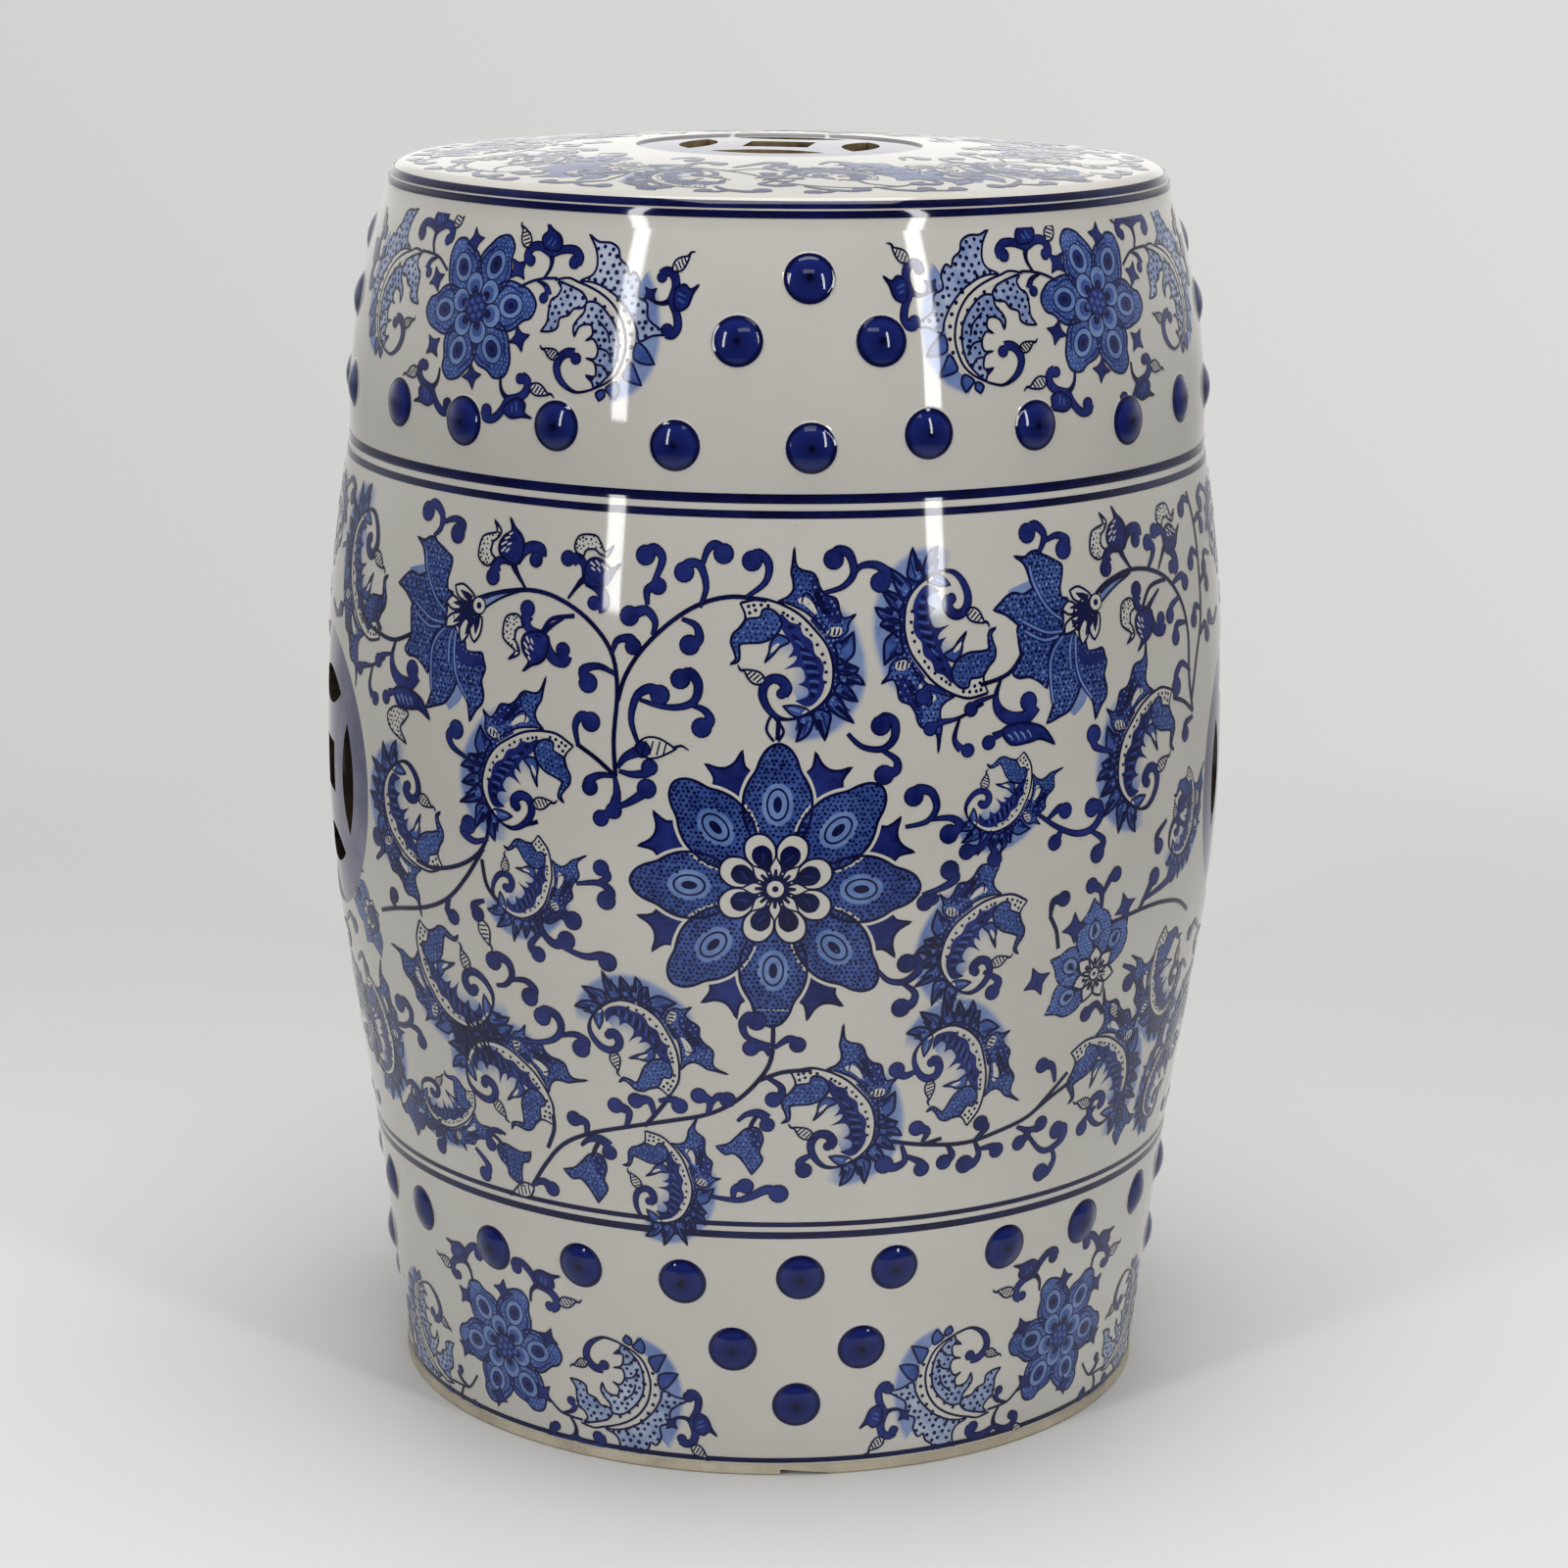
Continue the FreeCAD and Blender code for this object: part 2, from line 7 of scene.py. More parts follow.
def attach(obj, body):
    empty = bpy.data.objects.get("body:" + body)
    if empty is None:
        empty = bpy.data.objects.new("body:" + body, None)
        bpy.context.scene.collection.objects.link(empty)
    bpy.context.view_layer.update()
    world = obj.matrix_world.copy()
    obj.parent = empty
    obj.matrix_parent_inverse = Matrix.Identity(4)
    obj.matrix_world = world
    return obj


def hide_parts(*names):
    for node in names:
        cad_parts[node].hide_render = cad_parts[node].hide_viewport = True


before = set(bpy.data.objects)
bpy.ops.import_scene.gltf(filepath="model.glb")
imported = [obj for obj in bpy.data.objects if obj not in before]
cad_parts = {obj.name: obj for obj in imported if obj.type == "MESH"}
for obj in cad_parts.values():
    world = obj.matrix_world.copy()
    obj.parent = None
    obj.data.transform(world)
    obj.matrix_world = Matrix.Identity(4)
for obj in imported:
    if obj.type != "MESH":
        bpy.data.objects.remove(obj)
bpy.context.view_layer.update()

# Blue and white garden stool: turned barrel, domed seat, three pierced coin medallions,
# rows of nail-head bosses and a painted scroll of lotus flowers and curled leaves.
# Sizes in the drawing parts are millimetres; angles are degrees from the front towards +X.

MM = 0.001


# Outline of the barrel and the seat

FOOT_RADIUS, FOOT_TOP = 141.2, 4.0
RIDGE_RADIUS, RIDGE_HEIGHT = 152.5, 99.0
BELLY_RADIUS, BELLY_HEIGHT = 169.0, 240.0
BAND_RADIUS, BAND_HEIGHT = 158.5, 357.0
BELLY_TURN = 58.6
SHOULDER_ARC, SHOULDER_RISE = 250.0, 5.0
WALL_TOP = 445.0
WALL = 9.0
CROWN = 463.5
SEAT_THICKNESS = 10.0
RIM_LEAN, RIM_FOOT, RIM_INSET, RIM_DROP = 1.1, 4.5, 8.7, 6.3
MEDALLION_RADIUS, MEDALLION_HEIGHT = 52.5, 237.0
MEDALLION_ANGLES = {"left": -77.8, "right": 86.3}
BOSS_RADIUS, BOSS_PROUD = 8.3, 2.2
TURNED_SIDES, BOSS_SIDES = 288, 28

# The paint ends at these heights, and this far from the side coins and from the seat's edges
PAINT_LOW, PAINT_HIGH = 4.6, 444.6
WALL_MARGIN, SEAT_MARGIN = 0.3, 0.5

# The glaze skin lies this far under the modelled clay, so that the paint stays inside it,
# and every layer of paint rises by a level; a brush is never finer than this
SKIN = -0.45
LEVEL = 0.03
FINEST_BRUSH = 0.08

LEAN = math.atan((BELLY_RADIUS - RIDGE_RADIUS)
                 / (2 * (BELLY_HEIGHT - BELLY_TURN - RIDGE_HEIGHT) + BELLY_TURN))
LOWER_ARC = BELLY_TURN / math.sin(2 * LEAN)
UPPER_ARC = (((BELLY_RADIUS - BAND_RADIUS) ** 2 + (BAND_HEIGHT - BELLY_HEIGHT) ** 2)
             / (2 * (BELLY_RADIUS - BAND_RADIUS)))
SHOULDER_HEIGHT = BAND_HEIGHT + SHOULDER_RISE
SHOULDER_CENTRE = BAND_RADIUS - math.sqrt(SHOULDER_ARC ** 2 - SHOULDER_RISE ** 2)


def arc_radius(height, centre, middle, radius):
    return centre + math.sqrt(radius ** 2 - (height - middle) ** 2)


def wall_radius(height):
    """How far the barrel's outside lies from the axis at a height."""
    if height < RIDGE_HEIGHT:
        share = (height - FOOT_TOP) / (RIDGE_HEIGHT - FOOT_TOP)
        return FOOT_RADIUS + (RIDGE_RADIUS - FOOT_RADIUS) * share
    if height < BELLY_HEIGHT - BELLY_TURN:
        return RIDGE_RADIUS + math.tan(2 * LEAN) * (height - RIDGE_HEIGHT)
    if height < BELLY_HEIGHT:
        return arc_radius(height, BELLY_RADIUS - LOWER_ARC, BELLY_HEIGHT, LOWER_ARC)
    if height < BAND_HEIGHT:
        return arc_radius(height, BELLY_RADIUS - UPPER_ARC, BELLY_HEIGHT, UPPER_ARC)
    return arc_radius(height, SHOULDER_CENTRE, SHOULDER_HEIGHT, SHOULDER_ARC)


RIM_BASE = (wall_radius(WALL_TOP) - RIM_LEAN, WALL_TOP + RIM_FOOT)
RIM_TOP_RADIUS = wall_radius(WALL_TOP) - RIM_INSET
DOME = (RIM_TOP_RADIUS ** 2 + RIM_DROP ** 2) / (2 * RIM_DROP)


def seat_height(radius):
    return CROWN - DOME + math.sqrt(DOME ** 2 - radius ** 2)


# Flat drawing: smooth curves, brush strokes and the sheets that they are drawn on

class Sheet:
    """A flat drawing: its strokes in the order of painting."""

    def __init__(self):
        self.strokes = []


class WallSheet(Sheet):
    """The barrel's outside unrolled: across in degrees from the front, up in millimetres."""

    step = (1.5, 8.0)

    def at(self, spot, x, y):
        per_degree = math.radians(wall_radius(spot[1]))
        return (spot[0] + x / per_degree, spot[1] + y)

    def bare(self, x, y):
        """No paint on the foot, the rim and the side coins."""
        if not PAINT_LOW < y < PAINT_HIGH:
            return True
        for angle in MEDALLION_ANGLES.values():
            turn = math.radians(x - angle)
            away = math.hypot(math.sin(turn) * wall_radius(y), y - MEDALLION_HEIGHT)
            if math.cos(turn) > 0 and away < MEDALLION_RADIUS + WALL_MARGIN:
                return True
        return False


class SeatSheet(Sheet):
    """The seat seen from above, in millimetres from its middle."""

    step = (9.0, 9.0)

    def at(self, spot, x, y):
        return (spot[0] + x, spot[1] + y)

    def bare(self, x, y):
        """No paint on the coin and over the rim."""
        return not MEDALLION_RADIUS + SEAT_MARGIN < math.hypot(x, y) < RIM_TOP_RADIUS - SEAT_MARGIN


def bend(before, start, end, after, t):
    """A point on the smooth curve that runs through four knots, between the middle two."""
    return tuple(0.5 * (2 * b + (c - a) * t + (2 * a - 5 * b + 4 * c - d) * t * t
                        + (3 * b - a - 3 * c + d) * t ** 3)
                 for a, b, c, d in zip(before, start, end, after))


def smooth(knots, steps=5):
    """A smooth open curve through the knots."""
    ends = [knots[0]] + list(knots) + [knots[-1]]
    points = []
    for i in range(len(knots) - 1):
        points += [bend(*ends[i:i + 4], step / steps) for step in range(steps)]
    return points + [tuple(knots[-1])]


def smooth_loop(knots, steps=4):
    """A smooth closed curve; a knot with a third value is a sharp corner."""
    corners = [i for i, knot in enumerate(knots) if len(knot) > 2]
    flat = [knot[:2] for knot in knots]
    if not corners:
        ring = flat[-1:] + flat + flat[:2]
        return [bend(*ring[i:i + 4], step / steps)
                for i in range(len(flat)) for step in range(steps)]
    points = []
    for number, corner in enumerate(corners):
        following = corners[(number + 1) % len(corners)]
        if following <= corner:
            following += len(flat)
        side = [flat[i % len(flat)] for i in range(corner, following + 1)]
        points += smooth(side, steps)[:-1]
    return points


def polar(angle, radius):
    return (radius * math.cos(math.radians(angle)), radius * math.sin(math.radians(angle)))


def inside(point, loop):
    """Whether a point lies inside a closed outline."""
    x, y = point
    odd = False
    for (x1, y1), (x2, y2) in zip(loop, loop[1:] + loop[:1]):
        if (y1 > y) != (y2 > y) and x < x1 + (y - y1) * (x2 - x1) / (y2 - y1):
            odd = not odd
    return odd


class Brush:
    """Draws in millimetres about a spot of a sheet, turned, sized or mirrored there."""

    def __init__(self, sheet, spot, turn=0.0, size=1.0, mirror=False, tall=1.0, piece="vines"):
        self.sheet, self.spot, self.piece = sheet, spot, piece
        self.start, self.across, self.up = (0.0, 0.0), (1.0, 0.0), (0.0, tall)
        self.join(0, 0, turn, size, mirror)

    def join(self, x, y, turn, size, mirror):
        cos, sin = size * math.cos(math.radians(turn)), size * math.sin(math.radians(turn))
        side = -1 if mirror else 1
        start = self.place(x, y)
        across, up = self.across, self.up
        self.across = tuple(side * (cos * a + sin * u) for a, u in zip(across, up))
        self.up = tuple(cos * u - sin * a for a, u in zip(across, up))
        self.start = start

    def place(self, x, y):
        return tuple(s + x * a + y * u for s, a, u in zip(self.start, self.across, self.up))

    def branch(self, x, y, turn=0.0, size=1.0, mirror=False):
        """A brush for a motif that grows from x, y."""
        other = Brush(self.sheet, self.spot, piece=self.piece)
        other.start, other.across, other.up = self.start, self.across, self.up
        other.join(x, y, turn, size, mirror)
        return other

    def sheet_point(self, point):
        fade = point[2] if len(point) > 2 else 1.0
        return self.sheet.at(self.spot, *self.place(*point[:2])) + (fade,)

    def fill(self, paint, level, points):
        """One flat patch of paint; a point's third value fades the paint out towards 0."""
        self.sheet.strokes.append((self.piece, paint, level, [self.sheet_point(p) for p in points]))

    def patch(self, paint, level, knots, steps=4):
        loop = smooth_loop(knots, steps)
        self.fill(paint, level, loop)
        return loop

    def inked(self, ink_level, half, *patch):
        """A patch with an inked edge of this half width."""
        loop = self.patch(*patch)
        self.line("ink", ink_level, loop, half)
        return loop

    def disc(self, paint, level, centre, radius, sides=14, stretch=1.0, turn=0.0):
        """A round or oval spot; stretch lengthens it along its turned axis."""
        points = []
        cos, sin = math.cos(math.radians(turn)), math.sin(math.radians(turn))
        for i in range(sides):
            x, y = polar(360 * i / sides, radius)
            x *= stretch
            points.append((centre[0] + x * cos - y * sin, centre[1] + x * sin + y * cos))
        self.fill(paint, level, points)

    def rings(self, sides, centre, *discs, stretch=1.0, turn=0.0):
        """Discs one on another, each by its paint, level and radius."""
        for paint, level, radius in discs:
            self.disc(paint, level, centre, radius, sides, stretch, turn)

    def specks(self, level, radius, *spots):
        for spot in spots:
            self.disc("ink", level, spot, radius, 7)

    def band(self, paint, level, inner, outer, closed=False):
        """Quads between two curves of as many points."""
        count = len(inner)
        for i in range(count if closed else count - 1):
            j = (i + 1) % count
            self.fill(paint, level, [inner[i], inner[j], outer[j], outer[i]])

    def stroke(self, paint, level, knots, steps=5):
        """A brush stroke through knots of x, y and the brush's half width."""
        path = smooth(knots, steps)
        left, right = [], []
        for i, (x, y, half) in enumerate(path):
            before, after = path[max(i - 1, 0)], path[min(i + 1, len(path) - 1)]
            dx, dy = after[0] - before[0], after[1] - before[1]
            length = math.hypot(dx, dy) or 1.0
            half = max(half, FINEST_BRUSH)
            left.append((x - dy / length * half, y + dx / length * half))
            right.append((x + dy / length * half, y - dx / length * half))
        self.band(paint, level, right, left)

    def line(self, paint, level, loop, half):
        """A line of even width along a closed outline."""
        inner, outer = [], []
        count = len(loop)
        for i, (x, y) in enumerate(loop):
            before, after = loop[i - 1], loop[(i + 1) % count]
            dx, dy = after[0] - before[0], after[1] - before[1]
            length = math.hypot(dx, dy) or 1.0
            inner.append((x - dy / length * half, y + dx / length * half))
            outer.append((x + dy / length * half, y - dx / length * half))
        self.band(paint, level, outer, inner, closed=True)

    def dots(self, paint, level, loop, gap, radius, keep=lambda x, y: True, seed=1):
        """Rows of small dots, a little uneven, inside an outline."""
        chance = random.Random(seed)
        xs, ys = [x for x, _ in loop], [y for _, y in loop]
        row = 0
        y = min(ys) + gap * 0.4
        while y < max(ys):
            x = min(xs) + gap * (0.4 + 0.5 * (row % 2))
            while x < max(xs):
                spot = (x + chance.uniform(-0.2, 0.2) * gap, y + chance.uniform(-0.2, 0.2) * gap)
                size = radius * chance.uniform(0.8, 1.2)
                if inside(spot, loop) and keep(*spot):
                    self.disc(paint, level, spot, size, sides=6, turn=chance.uniform(0, 60))
                x += gap
            row += 1
            y += gap * 0.88


# Motifs of the scroll

def turned_points(points, x=0.0, y=0.0, size=1.0, turn=0.0):
    """Knots moved, sized and turned; what follows x and y in a knot is kept."""
    cos, sin = size * math.cos(math.radians(turn)), size * math.sin(math.radians(turn))
    return [(x + px * cos - py * sin, y + px * sin + py * cos) + tuple(rest)
            for px, py, *rest in points]


def even(points, half):
    """Knots of a stroke that keeps one half width."""
    return [tuple(point) + (half,) for point in points]


def brush_hook(brush, knots, ball, radius):
    """A thick hooked stroke that ends in a ball: dark at its edge, thinner inside."""
    for paint, level, less in (("ink", 5, 0.0), ("deep", 5.4, 0.55)):
        inner = [(x, y, half - less) for x, y, half in knots if half > less]
        if len(inner) > 1:
            brush.stroke(paint, level, inner)
        brush.disc(paint, level + 0.2, ball, radius - less)


def seed_bud(brush, x, y, turn, size=1.0):
    """A small pointed bud with a netted face and a whip of a tip."""
    place = (x, y, size, turn)
    brush.inked(6.2, 0.38, "white", 5, turned_points(
        ((0, 0), (2.6, 2.6), (6.2, 2.6), (10.6, 0.2, 1), (5.6, -2.3), (2.2, -2.2)), *place))
    for at in (1.9, 3.7, 5.5, 7.2):
        brush.stroke("ink", 6, even(turned_points(((at, -1.7), (at + 0.9, 1.9)), *place), 0.3))
    whip = turned_points(((9.6, 0.3, 0.55), (11.8, 1.1, 0.45), (13.8, 0.0, 0.2)), *place)
    brush.stroke("ink", 6, whip)


def star(brush, x, y, size=1.0, turn=0.0):
    """A four-pointed spark beside a flower."""
    knots = []
    for i in range(4):
        a, b = polar(turn + 90 * i, 5.4 * size), polar(turn + 90 * i + 45, 2.5 * size)
        knots += [(x + a[0], y + a[1], 1), (x + b[0], y + b[1])]
    brush.inked(5.1, 0.3, "deep", 5, knots, 3)


def netted(brush, paint, level, knots, gap, seed, dot=0.45):
    """A patch with an inked edge and rows of small dots inside."""
    loop = brush.inked(level + 2.4, 0.42, paint, level, knots)
    brush.dots("ink", level + 2.2, loop, gap, dot, seed=seed)
    if paint == "blue":
        brush.dots("sky", level + 2.1, loop, gap * 1.5, dot, seed=seed + 40)


def hatch(brush, paint, level, spans, half=0.3):
    """Short strokes of a fine brush."""
    for x0, y0, x1, y1 in spans:
        bow = ((x0 + x1) / 2 + 0.2, (y0 + y1) / 2 + 0.2, half)
        brush.stroke(paint, level, [(x0, y0, half), bow, (x1, y1, half * 0.5)], 2)


def lotus_bud(brush):
    """A bud between two hooks, with a rolled leaf on one side, on the body."""
    brush.stroke("ink", 5, [(0, 0, 0.5), (-3.3, 3.9, 0.8), (-5.5, 7.0, 1.3), (-6.0, 9.5, 1.8)])
    brush_hook(brush, [(-4.6, 8.4, 1.4), (-2.2, 12.4, 1.9), (1.1, 14.4, 2.1), (4.9, 14.0, 2.1),
                       (5.4, 11.4, 2.1)], (3.3, 10.3), 2.8)
    brush_hook(brush, [(-6.0, 8.4, 1.4), (-10.9, 8.8, 1.5), (-13.7, 7.0, 2.1), (-13.6, 4.4, 2.5)],
               (-14.5, 2.6), 3.1)
    brush.inked(5.8, 0.5, "deep", 5.3, [
        (-11.5, 10.1), (-12.8, 13.5), (-10.9, 16.9), (-7.7, 19.2), (-8.9, 23.4, 1), (-6.4, 20.1),
        (-3.8, 18.1), (-2.2, 15.2), (-2.7, 10.1), (-5.5, 7.8)])
    hatch(brush, "white", 6, (
        (-11.6, 11.6, -9.8, 13.2), (-11.8, 13.8, -9.4, 15.2), (-10.4, 16.0, -8.2, 16.8),
        (-9.6, 11.6, -8.2, 13.0), (-9.2, 14.0, -7.4, 14.8), (-8.6, 17.6, -7.2, 18.4)), 0.32)
    netted(brush, "white", 4, [
        (-17.5, 6.1), (-20.8, 7.6), (-21.9, 10.1), (-20.8, 15.2), (-18.0, 16.9), (-14.2, 18.1),
        (-15.9, 21.9, 1), (-12.4, 18.6), (-13.7, 16.0), (-15.8, 14.2), (-16.1, 10.7), (-13.7, 8.4)],
           1.8, 5)


def trefoil(brush, bud=True):
    """A bud between two hooks with a seed bud at its side, on the bands."""
    brush.stroke("ink", 5, [(0, 0, 0.5), (2.0, 3.3, 0.7), (2.2, 6.3, 1.0), (1.0, 8.8, 1.4)])
    brush_hook(brush, [(1.6, 7.9, 1.2), (-3.0, 10.3, 1.6), (-6.9, 9.9, 1.7), (-8.4, 7.4, 1.8),
                       (-7.4, 5.2, 1.9)], (-6.6, 5.4), 2.0)
    brush_hook(brush, [(1.8, 7.9, 1.2), (6.3, 9.8, 1.5), (10.9, 9.9, 1.6), (13.3, 7.7, 1.8),
                       (12.6, 5.6, 1.9)], (11.6, 6.0), 2.4)
    if bud:
        brush.inked(5.8, 0.45, "deep", 5.3, [
            (-1.6, 9.9), (-3.3, 13.4), (-1.3, 15.6), (-2.6, 18.8, 1), (0.2, 16.3), (4.3, 14.0),
            (5.5, 10.7), (3.6, 9.2)])
        hatch(brush, "blue", 6, ((-0.6, 11.0, 1.0, 13.6), (1.4, 10.8, 2.8, 12.8)), 0.4)
    seed_bud(brush, -8.4, 9.6, 122, 0.75)


def knot_bud(brush, leafy=True):
    """The knot of hooks under a side lotus, with a dark bud and a hanging leaf."""
    hooks = ((((-9.2, 17, 0.5), (-11.6, 11, 1.1), (-10.6, 6, 2.0), (-6, 2.6, 2.5), (0.4, 2.4, 2.5),
               (4.6, 6, 2.4)), (1.6, 7.6), 3.6),
             (((-9, -2, 1.2), (-13, -3.2, 1.6)), (-14.6, -5.0), 2.7),
             (((-12.3, 11, 0.6), (-18.4, 9.4, 1.1), (-21, 7.6, 1.6)), (-21.3, 7), 2.7),
             (((-16.4, 8.6, 0.5), (-26, 4.4, 0.7), (-32, 3.4, 1.2), (-36, 2, 1.6)), (-36.4, 1.4),
              2.6),
             (((-25.6, 4.2, 0.5), (-27.6, -2.6, 1.0), (-25, -6.6, 1.6)), (-22.6, -7.0), 2.6))
    for knots, ball, radius in hooks:
        brush_hook(brush, knots, ball, radius)
    if leafy:
        netted(brush, "white", 4, [(-7.6, -7), (-13, -10.5), (-10.6, -15.6), (-0.4, -19.4, 1),
                                   (-4.6, -14.4), (-2.0, -11.4), (0, -8)], 1.8, 6)
    brush.inked(5.8, 0.5, "deep", 5.3, [
        (-9, -1), (-1.5, 0.6), (5.6, -1.0), (9, -3.4), (12.6, -8.4, 1), (6.4, -5.8), (1.5, -6.4),
        (-6, -6.4)])
    hatch(brush, "sky", 6, ((-7, -3, -5, -5.2), (-4.6, -2.2, -2.4, -5.4), (-2.0, -2.4, 0.2, -5.4),
                            (0.8, -2.2, 2.4, -4.8)), 0.35)


def simple_bud(brush):
    """A dotted three-lobed bud that hangs from a hook."""
    brush_hook(brush, [(-3, 9.6, 0.7), (0.4, 12.6, 1.2), (5, 13.4, 1.8), (8.6, 11.0, 2.1)],
               (8.4, 8.4), 3.1)
    netted(brush, "blue", 2.4, [
        (-11.4, -1.4, 1), (-6.6, 0.0), (-3.4, 3.0), (0.4, 6.6), (5.0, 6.8), (6.8, 2.0), (5.4, -3.0),
        (6.6, -7.0), (2.4, -13.0, 1), (-0.8, -7.6), (-4.4, -4.2), (-8.0, -4.6)], 1.8, 4)
    brush.patch("deep", 2.9,
                [(0.4, 6.0), (4.6, 6.2), (6.0, 2.0), (4.6, -2.6), (2.4, -0.4), (2.2, 3.0)])
    brush.stroke("ink", 4, [(1.6, 5.6, 0.9), (2.6, 9.0, 0.9), (4.6, 12.4, 0.9)])


def halo(brush, near, core, spread):
    """Wash that bled round a leaf's back, soft at its edge and at both ends."""
    near, core = smooth(near, 4), smooth(core, 4)
    last = len(near) - 1
    ends = [min(1.0, i / 4, (last - i) / 4) for i in range(last + 1)]
    near = [p + (e,) for p, e in zip(near, ends)]
    rim = [(x * spread, y * spread, 0.0) for x, y in core]
    core = [p + (e,) for p, e in zip(core, ends)]
    brush.band("wash", 0, near, core)
    brush.band("wash", 0, core, rim)


def body_leaf(brush, seed=0):
    """A leaf curled nearly to a ring: lobes at its stem, inked teeth outside, flames inside."""
    if brush.piece == "vines":
        brush.piece = "leaves"
    halo(brush, [(13.0, 13.0), (18.0, 9.0), (20.2, 5.0), (21.0, 0.0), (21.2, -5.0), (19.8, -10.0),
                 (16.6, -14.4), (12.4, -17.4), (7.6, -19.0), (3.6, -18.6)],
         [(20.0, 20.4), (25.0, 14.5), (27.6, 8.4), (29.4, 1.5), (29.6, -6.0), (27.6, -13.0),
          (23.4, -19.0), (17.0, -23.6), (8.6, -25.4), (2.0, -23.6)], 1.07)

    # the great lobe outside and the hanging lobe inside
    netted(brush, "blue", 1, [
        (1.0, 20.6), (4.2, 22.2), (6.1, 24.6), (6.0, 27.7), (5.4, 30.2), (5.8, 33.2),
        (6.4, 38.6, 1), (7.0, 33.0), (9.1, 31.1), (12.7, 30.2), (14.3, 28.1), (15.1, 25.6),
        (17.2, 22.9), (20.8, 21.4), (22.0, 17.2), (23.6, 14.9), (27.6, 16.2, 1), (25.1, 13.4),
        (24.5, 10.6), (22.4, 8.8), (18.4, 8.8), (15.1, 12.8), (11.1, 16.6), (7.0, 18.9),
        (3.4, 20.2)], 1.75, 2 + seed)
    brush.patch("deep", 3.0, [(13.1, 28.6), (14.5, 26.0), (17.0, 22.6), (20.6, 20.8), (21.6, 16.8),
                              (22.6, 13.6), (19.4, 13.4), (16.6, 15.6), (14.3, 18.9), (13.4, 22.2),
                              (12.3, 25.6)])
    brush.stroke("ink", 3.2, [(14.2, 24.0, 0.9), (15.4, 20.4, 1.3), (17.4, 16.6, 0.8)])
    brush.stroke("white", 3.3,
                 [(7.9, 20.6, 0.7), (9.9, 21.0, 1.2), (12.6, 18.6, 1.0), (13.8, 16.6, 0.4)])
    brush.stroke("ink", 3.6,
                 [(9.0, 20.2, 0.3), (10.0, 23.4, 0.4), (12.6, 22.0, 0.45), (14.0, 18.4, 0.4)])
    brush.patch("white", 3.4, [(17.2, 9.6), (19.4, 12.0), (22.6, 11.6), (22.2, 9.4), (19.4, 8.9)])
    hatch(brush, "ink", 3.8,
          ((18.2, 9.4, 18.8, 11.8), (19.8, 9.2, 20.3, 11.9), (21.2, 9.2, 21.8, 11.6)), 0.35)
    netted(brush, "blue", 1, [
        (-5.2, 15.4), (-8.7, 14.9), (-10.4, 14.0), (-12.0, 11.7), (-14.2, 9.6), (-14.9, 6.7),
        (-13.7, 3.6), (-13.2, 1.2), (-15.0, -0.6, 1), (-12.3, 0.4), (-11.9, 3.3), (-12.0, 5.9),
        (-9.6, 6.6), (-4.7, 6.9), (-1.1, 8.4), (1.4, 10.9), (2.2, 13.8), (0.9, 16.4), (-1.8, 18.1),
        (-4.3, 17.8)], 1.85, 3 + seed)
    brush.patch("white", 2.8, [
        (-11.6, 19.7), (-10.4, 16.8), (-10.0, 14.7), (-8.4, 15.0), (-5.5, 15.6), (-4.3, 18.3),
        (-1.6, 18.8), (2.0, 18.6), (-4.6, 20.6)])
    brush.stroke("ink", 4,
                 [(-12.0, 20.0, 0.35), (-10.4, 16.8, 0.4), (-10.2, 14.3, 0.5), (-12.0, 11.7, 0.5)])
    brush.specks(3.6, 0.68, (-9.1, 18.9), (-7.3, 19.3), (-4.8, 19.4), (-6.7, 17.6), (-8.7, 16.7),
                 (-2.4, 19.2))

    # teeth outside, on a dark root
    root = [(11.4, 13.8), (15.4, 9.4), (18.2, 4.4), (19.6, -0.6), (19.6, -5.8), (18.2, -10.4),
            (15.6, -14.0), (11.8, -16.8), (8.4, -18.0)]
    inner_root, outer_root = smooth(root, 3), smooth([(x * 1.2, y * 1.2) for x, y in root], 3)
    brush.band("deep", 1.2, inner_root, outer_root)
    brush.dots("sky", 3.3, outer_root + inner_root[::-1], 1.9, 0.42, seed=5 + seed)
    teeth = ([(20.2, 6.9), (23.6, 7.2), (26.6, 10.4, 1), (26.9, 4.0), (25.0, 1.2), (21.5, -0.6),
              (21.0, 3.0)],
             [(21.2, 1.5), (24.5, -0.2), (28.4, -2.0, 1), (26.6, -3.8), (21.6, -3.6)],
             [(21.6, -2.9), (25.5, -3.5), (28.4, -4.6), (30.4, -7.6, 1), (26.5, -6.9),
              (22.3, -6.9)],
             [(21.6, -6.9), (25.0, -8.3), (28.0, -13.2, 1), (23.5, -12.0), (20.1, -9.9)],
             [(19.8, -10.4), (22.8, -13.3), (24.3, -17.0), (26.8, -20.4, 1), (21.3, -17.7),
              (17.4, -14.2)],
             [(15.2, -15.6), (18.7, -17.3), (18.2, -21.5), (17.0, -26.2, 1), (14.4, -20.7),
              (13.0, -17.0)],
             [(12.4, -17.4), (12.7, -21.0), (10.8, -24.4), (7.4, -26.6, 1), (8.5, -21.5),
              (8.0, -18.6)])
    for number, knots in enumerate(teeth):
        brush.inked(4.1, 0.5, "blue", 1.4 + 0.15 * number, knots, 3)
        tip = next(k for k in knots if len(k) > 2)
        foot = ((knots[0][0] + knots[-1][0]) / 2, (knots[0][1] + knots[-1][1]) / 2)
        along = (tip[0] - foot[0], tip[1] - foot[1])
        for side, start, end, half in ((0.0, 0.25, 1.0, 1.0), (1.4, 0.1, 0.66, 0.5),
                                       (-1.4, 0.05, 0.6, 0.5)):
            aside = (-along[1] / 9 * side, along[0] / 9 * side)
